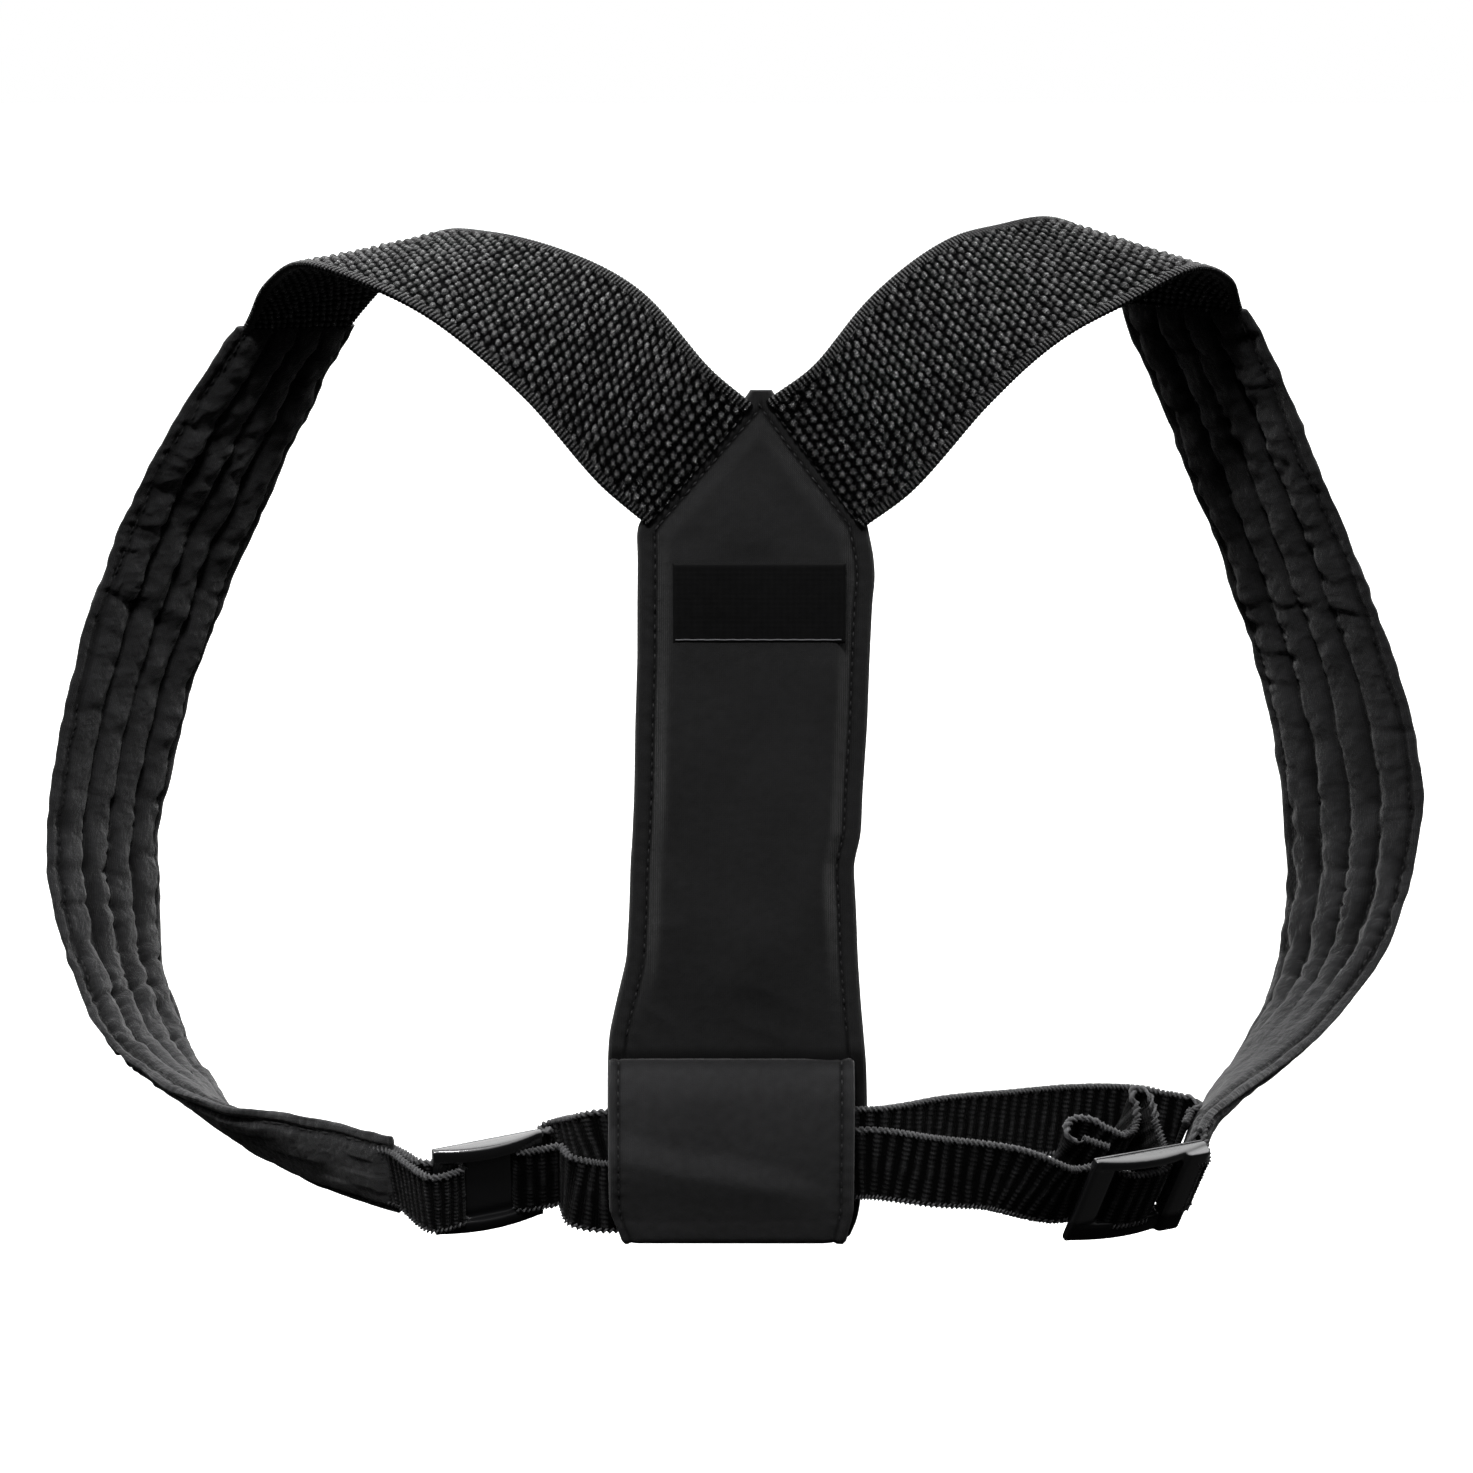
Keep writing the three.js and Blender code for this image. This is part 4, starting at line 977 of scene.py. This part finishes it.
# outerEnd is how far the end bars stand past length, hood how far the right one stands forward and
# inset how much wider both are inwards. deeper widens the upper and the lower rail inwards.
leftLook = {
    "length": 37, "centreBar": 17.4, "endBar": 7.0, "slot": 25.6,
    "outerEnd": 0, "hood": 0, "inset": 0, "deeper": (1.2, 0.8),
}
sliderLook = {
    "length": 42, "centreBar": 11, "endBar": 4.4, "slot": 28,
    "outerEnd": 1.5, "hood": 3.4, "inset": 4.2, "deeper": (0, 3.6),
}


def buckleAxes(centre, yaw, tilt, roll, endBar):  # along the rails, up the bars, towards the wearer's back
    yaw, tilt, roll = (math.radians(v) for v in (yaw, tilt, roll))
    a = arr(math.cos(yaw), math.sin(yaw), 0)
    up = arr(0, 0, 1)
    h = up * math.cos(tilt) + np.cross(a, up) * math.sin(tilt)
    n = np.cross(a, h)
    spin = lambda v: v * math.cos(roll) + np.cross(n, v) * math.sin(roll)
    return {"centre": centre, "a": spin(a), "h": spin(h), "n": n, "endBar": endBar}


def onBuckle(axes, along, out, up=0.0):
    return axes["centre"] + axes["a"] * along + axes["n"] * out + axes["h"] * up


leftEnd = routeAt(leftRoute, arr(leftRoute["length"]))[0][0]
rightEnd = routeAt(rightRoute, arr(rightRoute["length"]))[0][0]
buckleFrame = buckleAxes(leftEnd + arr(31.5, -9, 1.8), 20, 14, 4, leftLook["endBar"])
sliderFrame = buckleAxes(rightEnd + arr(-21.8, -18.9, -5.4), 28, 24, -3, sliderLook["endBar"])


def roundedBar(length, wide, thick, bend=None, rows=26):  # closed bar along x, its section a soft rectangle
    x = np.linspace(-length / 2, length / 2, rows)
    angle = np.arange(16) / 16 * 2 * math.pi
    square = lambda c: np.sign(c) * np.abs(c) ** 0.45
    high = np.full_like(x, thick / 2) if bend is None else thick / 2 + bend(x)
    y = square(np.cos(angle))[None, :] * np.full((rows, 1), wide / 2)
    z = square(np.sin(angle))[None, :]
    z = np.where(z > 0, z * high[:, None], z * thick / 2)
    points = np.stack([np.broadcast_to(x[:, None], y.shape), y, z], -1).reshape(-1, 3)
    faces = gridFaces(rows, 16).tolist() + [list(range(16))[::-1], [len(points) - 16 + k for k in range(16)]]
    return points, faces


def makeBuckle(name, axes, form):
    look, slot = buckleLook, form["slot"]
    heap = Heap()
    half, rise = form["length"] / 2, slot / 2 + look["rail"] / 2
    innerEdge = half - form["endBar"] - form["inset"]
    half += form["outerEnd"]
    bulge = lambda x: look["bulge"] * np.clip(1 - (x / (half - 1.5)) ** 2, 0, 1)
    for side, deeper in zip((1, -1), form["deeper"]):
        points, faces = roundedBar(2 * half, look["rail"] + deeper, look["bar"], bulge)
        heap.add(points + arr(0, side * (rise - deeper / 2), 0), faces)
    middle, wide = (half + innerEdge) / 2, half - innerEdge
    for x, width in ((-middle, wide), (0, form["centreBar"]), (middle, wide)):
        hood = form["hood"] if x > 0 else 0
        points, faces = roundedBar(slot + 2 * look["rail"] - look["barShort"], width, look["bar"] + hood)
        heap.add(points[:, [1, 0, 2]] + arr(x, 0, hood / 2), [f[::-1] for f in faces])
    piece = heap.piece(name, [glossPlastic])
    remesh = piece.modifiers.new("oneMoulding", "REMESH")
    remesh.mode, remesh.voxel_size, remesh.use_smooth_shade = "VOXEL", look["voxel"] * mm, True
    softer = piece.modifiers.new("softEdges", "SMOOTH")
    softer.factor, softer.iterations = 0.5, look["smoothing"]
    bpy.context.view_layer.update()
    baked = bpy.data.meshes.new_from_object(piece.evaluated_get(bpy.context.evaluated_depsgraph_get()))
    piece.modifiers.clear()
    piece.data = baked
    turned = np.empty(len(baked.vertices) * 3)
    baked.vertices.foreach_get("co", turned)
    turned = turned.reshape(-1, 3) / mm
    world = axes["centre"] + sum(turned[:, k:k + 1] * axes[axis] for k, axis in enumerate("ahn"))
    baked.vertices.foreach_set("co", (world * mm).ravel())
    baked.polygons.foreach_set("use_smooth", np.ones(len(baked.polygons), bool))
    relief = baked.attributes.new("relief", "FLOAT", "POINT")
    lowRail = -slot / 2 + 3
    gleam = 0.06 + 0.94 * smooth(lowRail, lowRail + 3, turned[:, 1])  # painted shade: the lower rail's gloss is damped as if the webbing and upper rail sheltered it
    relief.data.foreach_set("value", gleam.astype(np.float32))
    baked.materials.clear()
    baked.materials.append(glossPlastic)
    baked.update()
    return piece


bucklePieces = {
    "left_buckle": makeBuckle("leftBuckleFrame", buckleFrame, leftLook),
    "right_slider": makeBuckle("rightSliderFrame", sliderFrame, sliderLook),
}
print("buckles ready")


# Webbing

webLook = {
    "rowStep": 0.75, "columns": 30, "core": 0.6, "ribPitch": 4.5, "ribHeight": 0.62,
    "dotPitch": 1.7, "cordWide": 0.9, "cordThick": 1.1, "cordPitch": 1.6, "cordStep": 0.36, "cordTwist": 0.6,
}
clearTurn = buckleLook["bar"] / 2 + sizes["webbingThickness"] / 2 + 0.7


def barTurn(axes, length, side, up=0.0):
    bar = length / 2 - axes["endBar"]
    stations = [(onBuckle(axes, side * (length / 2 + 2), -clearTurn - 2.2, up), axes["h"])]
    for angle in (-90, -45, 0, 45, 90):
        c, s = math.cos(math.radians(angle)), math.sin(math.radians(angle))
        stations.append((onBuckle(axes, side * (bar + 0.2 - clearTurn * c), clearTurn * s, up), axes["h"]))
    stations.append((onBuckle(axes, side * (length / 2 + 1.5), clearTurn + 0.3, up), axes["h"]))
    return stations


def webbingPath(stations, step):  # evenly spaced frames through the stations
    points, ups = np.array([s[0] for s in stations]), np.array([s[1] for s in stations])
    t, length = measured(points, 12000)
    distance = np.linspace(0, length[-1], int(length[-1] / step))
    at = np.interp(distance, length, t)
    place = at * (len(points) - 1)
    span = np.minimum(place.astype(int), len(points) - 2)
    share = smooth(0, 1, place - span)[:, None]
    point = alongKnots(points, at)
    tangent = headingAt(points, at)
    across = ups[span] * (1 - share) + ups[span + 1] * share
    across = unit(across - tangent * np.einsum("ij,ij->i", across, tangent)[:, None])
    return point, across, np.cross(across, tangent), distance


def makeWebbing(stations, width, look, seed):
    point, across, outer, distance = webbingPath(stations, look["rowStep"])
    cordWide = look["cordWide"]
    half = width / 2 - cordWide
    u, v = np.meshgrid(np.linspace(-half, half, look["columns"]), distance)

    def face(sign):
        phase = v / look["ribPitch"] + 0.06 * drift(v / 7, u / 5, seed)
        rib = (0.5 + 0.5 * np.cos(2 * math.pi * phase)) ** 1.6
        step = 0.5 * np.mod(np.floor(phase + 0.5), 2)
        dots = 0.5 + 0.5 * np.cos(2 * math.pi * (u / look["dotPitch"] + step))
        uneven = 0.8 + 0.4 * scatter(np.floor(phase + 0.5), np.floor(u / look["dotPitch"]))
        bead = rib * (0.35 + 0.65 * dots) * uneven
        # painted shade: darker between the beads
        return sign * (look["core"] + look["ribHeight"] * bead), smooth(0.22, 0.9, bead)

    (top, topShade), (under, underShade) = face(1), face(-1)
    ringU, ringH = np.hstack([u, u[:, ::-1]]), np.hstack([top, under[:, ::-1]])
    points, faces, uv = strip((point, across, outer, distance), ringU, ringH)
    heap = Heap()
    heap.add(points, faces, uv, relief=np.hstack([topShade, underShade[:, ::-1]]).ravel())
    finePoint, fineAcross, fineOuter, fineDistance = webbingPath(stations, look["cordStep"])
    around = 7
    angle = np.arange(around) / around * 2 * math.pi
    for side in (-1, 1):
        twist = np.cos(2 * angle[None, :] + side * 2 * math.pi * fineDistance[:, None] / look["cordPitch"])
        swell = 1 + look["cordTwist"] * twist
        wide, thick = cordWide * swell * np.cos(angle), look["cordThick"] * swell * np.sin(angle)
        middle = finePoint + fineAcross * side * (width / 2 - cordWide)
        rope = middle[:, None] + fineAcross[:, None] * wide[..., None] + fineOuter[:, None] * thick[..., None]
        rope = rope.reshape(-1, 3)
        last = len(fineDistance) * around
        quads = outward(rope, gridFaces(len(fineDistance), around))
        ropeUv = np.stack([np.tile(angle, len(fineDistance)), np.repeat(fineDistance, around)], -1)
        # painted shade: darker between the cord's twists
        heap.add(rope, quads, ropeUv, kind=1, relief=(0.5 + 0.5 * twist).ravel())
        flipped = not np.array_equal(quads[0], gridFaces(len(fineDistance), around)[0])
        for ring, reverse in ((range(around), not flipped), (range(last - around, last), flipped)):
            loop = [r + heap.count - last for r in ring]
            heap.faces.append(loop[::-1] if reverse else loop)
            heap.kinds.append(1)
    return heap


tabLook = dict(webLook, rowStep=0.42, columns=46, core=0.55, ribPitch=3.0, ribHeight=0.75, dotPitch=1.5)


def makeTab(name, route, axes, length, side, seed):
    layer = sizes["webbingThickness"] / 2 + 0.15
    slack = (sizes["webbingWidth"] - sizes["tabWidth"]) / 2 + 0.8

    def sewn(distance, height):
        place = arr(route["length"] + min(distance, 0))
        point, tangent, across, outer = (v[0] for v in routeAt(route, place))
        square = unit(across - tangent * across.dot(tangent))
        return point + tangent * max(distance, 0) + outer * height, square

    end = routeAt(route, arr(route["length"]))[0][0]
    rise = float(np.clip((end - axes["centre"]).dot(axes["h"]), -slack, slack))
    tuck = sizes["tabTuck"]
    stations = [sewn(distance, -layer) for distance in (-tuck, -tuck / 2, 0.5)]
    stations += barTurn(axes, length, side, rise)
    stations += [sewn(distance, layer) for distance in (0.5, -tuck / 2, -tuck)]
    heap = makeWebbing(stations, sizes["tabWidth"], tabLook, seed)
    return heap.piece(name, [cloth["tabKnit"], cloth["edgeCord"]])


tabPieces = {
    "webbing_tab_left": makeTab("leftWebbingTab", leftRoute, buckleFrame, leftLook["length"], -1, 41.0),
    "webbing_tab_right": makeTab("rightWebbingTab", rightRoute, sliderFrame, sliderLook["length"], 1, 43.0),
}

# the belt behind, between the right strap and the tunnel: share in x, share of the sag, drop under the fold
rearRows = [(0.90, 0.99, 43), (0.84, 1.03, 42), (0.74, 1.01, 41), (0.60, 0.87, 39), (0.42, 0.59, 36),
            (0.22, 0.24, 32), (0.09, 0.00, 30.5)]
# the loose end, in the slider's axes: along, back, up
tailRows = [
    (11.4, 5.2, 0.2), (11.4, 10.5, 1.6), (11.5, 18, 5.2), (11.6, 22.5, 8), (10.9, 25, 9), (9.2, 26, 9.2),
    (7.5, 25, 9), (6.6, 22.5, 8), (5.2, 18.5, 6), (2.0, 13.6, 4), (-3.2, 11.8, 3.4), (-9.6, 15.0, 5),
    (-14.5, 18.4, 6.5), (-19.6, 19.2, 6.6), (-22.6, 17.2, 5.8), (-22.2, 14.6, 4.6), (-18.4, 12.4, 3.6),
    (-12, 9.2, 2.4),
]


def beltStations():
    upright = arr(0, 0, 1)
    station = lambda x, y, z, up=None: (arr(x, y, z), upright if up is None else up)
    tunnelLeft, tunnelRight = -tunnelRows[2][1] * sizes["panelWidth"], tunnelRows[2][2] * sizes["panelWidth"]
    thick = sizes["webbingThickness"]
    inner = -(sizes["tunnelBack"] + 0.3 + thick / 2)
    outerPass = inner - thick - 0.6

    def sewn(back):
        point, _, _, outer = (v[0] for v in routeAt(rightRoute, arr(rightRoute["length"] - back)))
        lift = sizes["padThickness"] / 2 + 0.6 + thick / 2
        up = unit(upright - outer * outer[2])
        return point - outer * lift - up * 2, up

    beltEnd = routeAt(rightRoute, arr(rightRoute["length"] - sizes["tabTuck"]))[0][0]
    span = beltEnd[0] - tunnelRight
    stations = [sewn(3), sewn(8), sewn(13)]
    stations += [station(tunnelRight + along * span, front * sizes["beltSag"], foldHeight - down)
                 for along, front, down in rearRows]
    stations += [
        station(tunnelRight + 3, inner + 0.9, foldHeight - 30),
        station(tunnelRight - 12, inner, foldHeight - 30),
        station(tunnelLeft + 12, inner, foldHeight - 30.5),
        station(tunnelLeft - 1, inner + 0.3, foldHeight - 31),
        station(tunnelLeft - 9, 0.5, foldHeight - 35),
        (onBuckle(buckleFrame, leftLook["length"] / 2 + 6, -clearTurn - 2.9), buckleFrame["h"]),
        *barTurn(buckleFrame, leftLook["length"], 1),
        (onBuckle(buckleFrame, leftLook["length"] / 2 + 5, clearTurn + 0.4), buckleFrame["h"]),
        station(tunnelLeft - 12, outerPass + 3, foldHeight - 46.5),
        station(tunnelLeft - 3, outerPass + 0.9, foldHeight - 48),
        station(tunnelLeft + 10, outerPass, foldHeight - 47),
        station(tunnelRight - 12, outerPass, foldHeight - 37.5),
        station(tunnelRight, outerPass, foldHeight - 36),
        station(tunnelRight + 22, outerPass + 0.4, foldHeight - 39, arr(0.03, -0.04, 1)),
        station(tunnelRight + 44, outerPass + 1.6, foldHeight - 41.8, arr(0.1, -0.16, 1)),
    ]
    half, turn, bar = sliderLook["length"] / 2, clearTurn, sliderLook["centreBar"] / 2
    # through the slider: along, out
    threading = [
        (-half - 7, -turn - 1), (-half - 1, -turn - 0.3), (-half + sliderLook["endBar"], -turn - 0.3),
        (-bar - 6.7, -0.6), (-bar - 3.1, 2), (-bar + 0.3, turn), (0, turn + 0.1), (bar - 0.3, turn),
        (bar + 2.9, 1.6), (bar + 5.3, -1.4),
    ]
    stations += [(onBuckle(sliderFrame, along, out, -0.4), sliderFrame["h"]) for along, out in threading]
    stations += [(onBuckle(sliderFrame, along, -back, up), sliderFrame["h"]) for along, back, up in tailRows]
    return stations


beltHeap = makeWebbing(beltStations(), sizes["webbingWidth"], webLook, 47.0)
beltPiece = beltHeap.piece("threadedBelt", [cloth["beltKnit"], cloth["edgeCord"]])
print("webbing ready")


# What each piece stands for

def stands(piece, node):
    piece.data.calc_loop_triangles()
    print(node, len(piece.data.loop_triangles), "triangles")
    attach(piece, "root")
    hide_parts(node)


stands(panelPiece, "back_panel")
stands(flapPiece, "belt_tunnel")
stands(labelPiece, "woven_label")
stands(beltPiece, "belt_webbing")
for node, piece in elasticPieces.items():
    stands(piece, node)
for node, piece in quiltPieces.items():
    stands(piece, node)
for node, piece in bucklePieces.items():
    stands(piece, node)
for node, piece in tabPieces.items():
    stands(piece, node)
print("pieces placed on the frame")


# Studio

studio = {
    "target": arr(-6.5, 0, -92), "distance": 1050, "elevation": 15, "focalPixels": 3300, "imagePixels": 1473,
    "floorDrop": 330, "floorGlow": 0.85,
    # the sky's strength upwards and to the back: low, high, and where on the axis it changes
    "skyUp": (0.05, 6.5, (0.25, 0.9)), "skyBack": (0.5, 1.2, (-0.8, 0.8)), "skyOnCloth": 0.05,
    # power, size, place and aim
    "lamps": {
        "keyLight": (28, (0.24, 0.2), (-0.1, -0.5, 0.74), (0, 0, -0.05)),
        "fillLight": (15, (0.9, 0.7), (0.15, -1.4, 0.3), (0, 0, -0.12)),
        "rimLight": (11, (2.2, 0.5), (0, 0.95, 0.95), (0, 0, -0.1)),
    },
}


def makeCamera():
    view = math.radians(studio["elevation"])
    data = bpy.data.cameras.new("photoCamera")
    data.sensor_fit, data.sensor_width, data.sensor_height = "HORIZONTAL", 36, 36
    data.lens = 36 * studio["focalPixels"] / studio["imagePixels"]
    data.clip_start, data.clip_end = 0.05, 20
    camera = bpy.data.objects.new("photoCamera", data)
    camera.location = (studio["target"] + studio["distance"] * arr(0, -math.cos(view), math.sin(view))) * mm
    camera.rotation_euler = (math.pi / 2 - view, 0, 0)
    bpy.context.scene.collection.objects.link(camera)
    bpy.context.scene.camera = camera


def makeFloor():
    side = 6000
    z = -studio["floorDrop"]
    points = np.array([(-side, -side, z), (side, -side, z), (side, side, z), (-side, side, z)], float)
    material, _, shader = newMaterial("paleFloor")
    shader.inputs["Base Color"].default_value = (0.9, 0.9, 0.9, 1)
    shader.inputs["Roughness"].default_value = 0.9
    shader.inputs["Emission Color"].default_value = (1, 1, 1, 1)
    shader.inputs["Emission Strength"].default_value = studio["floorGlow"]
    floor = meshPiece("studioFloor", points, [[0, 1, 2, 3]], None, [material])
    floor.visible_diffuse = False
    floor.visible_glossy = False
    floor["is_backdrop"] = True


def areaLight(name, power, size, place, aim):
    data = bpy.data.lights.new(name, "AREA")
    data.shape, data.size, data.size_y, data.energy = "RECTANGLE", size[0], size[1], power
    lamp = bpy.data.objects.new(name, data)
    lamp.location = place
    direction = arr(*aim) - arr(*place)
    yaw, flat = math.atan2(direction[0], -direction[1]), math.hypot(direction[0], direction[1])
    lamp.rotation_euler = (math.atan2(flat, -direction[2]), 0, yaw)
    bpy.context.scene.collection.objects.link(lamp)
    return lamp


def makeWorld():
    world = bpy.data.worlds.new("softStudio")
    world.use_nodes = True
    tree = world.node_tree
    tree.nodes.clear()
    where = newNode(tree, "ShaderNodeTexCoord", (-900, 0))
    split = newNode(tree, "ShaderNodeSeparateXYZ", (-700, 0))
    wire(tree, where.outputs["Generated"], split.inputs[0])
    up = rangeNode(tree, (-500, 200), split.outputs[2], *studio["skyUp"])
    back = rangeNode(tree, (-500, -100), split.outputs[1], *studio["skyBack"])
    seen = newNode(tree, "ShaderNodeLightPath", (-700, 450))
    onCloth = rangeNode(tree, (-500, 450), seen.outputs["Is Diffuse Ray"], 1, studio["skyOnCloth"])
    total = mathNode(tree, "MULTIPLY", (-200, 200), mathNode(tree, "MULTIPLY", (-280, 50), up, back), onCloth)
    strength = newNode(tree, "ShaderNodeMix", (-100, 150), data_type="FLOAT")
    wire(tree, seen.outputs["Is Camera Ray"], strength.inputs[0])
    wire(tree, total, strength.inputs[2])
    strength.inputs[3].default_value = 1.0
    sky = newNode(tree, "ShaderNodeBackground", (120, 100))
    sky.inputs["Color"].default_value = (1, 1, 1, 1)
    wire(tree, strength.outputs[0], sky.inputs["Strength"])
    out = newNode(tree, "ShaderNodeOutputWorld", (320, 100))
    wire(tree, sky.outputs[0], out.inputs[0])
    bpy.context.scene.world = world


makeCamera()
makeFloor()
makeWorld()
for lampName, lamp in studio["lamps"].items():
    areaLight(lampName, *lamp).visible_glossy = lampName != "fillLight"  # the fill leaves no glint
bpy.context.scene.view_settings.view_transform = "Standard"
print("studio ready")

({"cad": [list(map(float, corner)) for corner in cadBounds],
           "visual": [list(map(float, corner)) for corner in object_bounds()]})
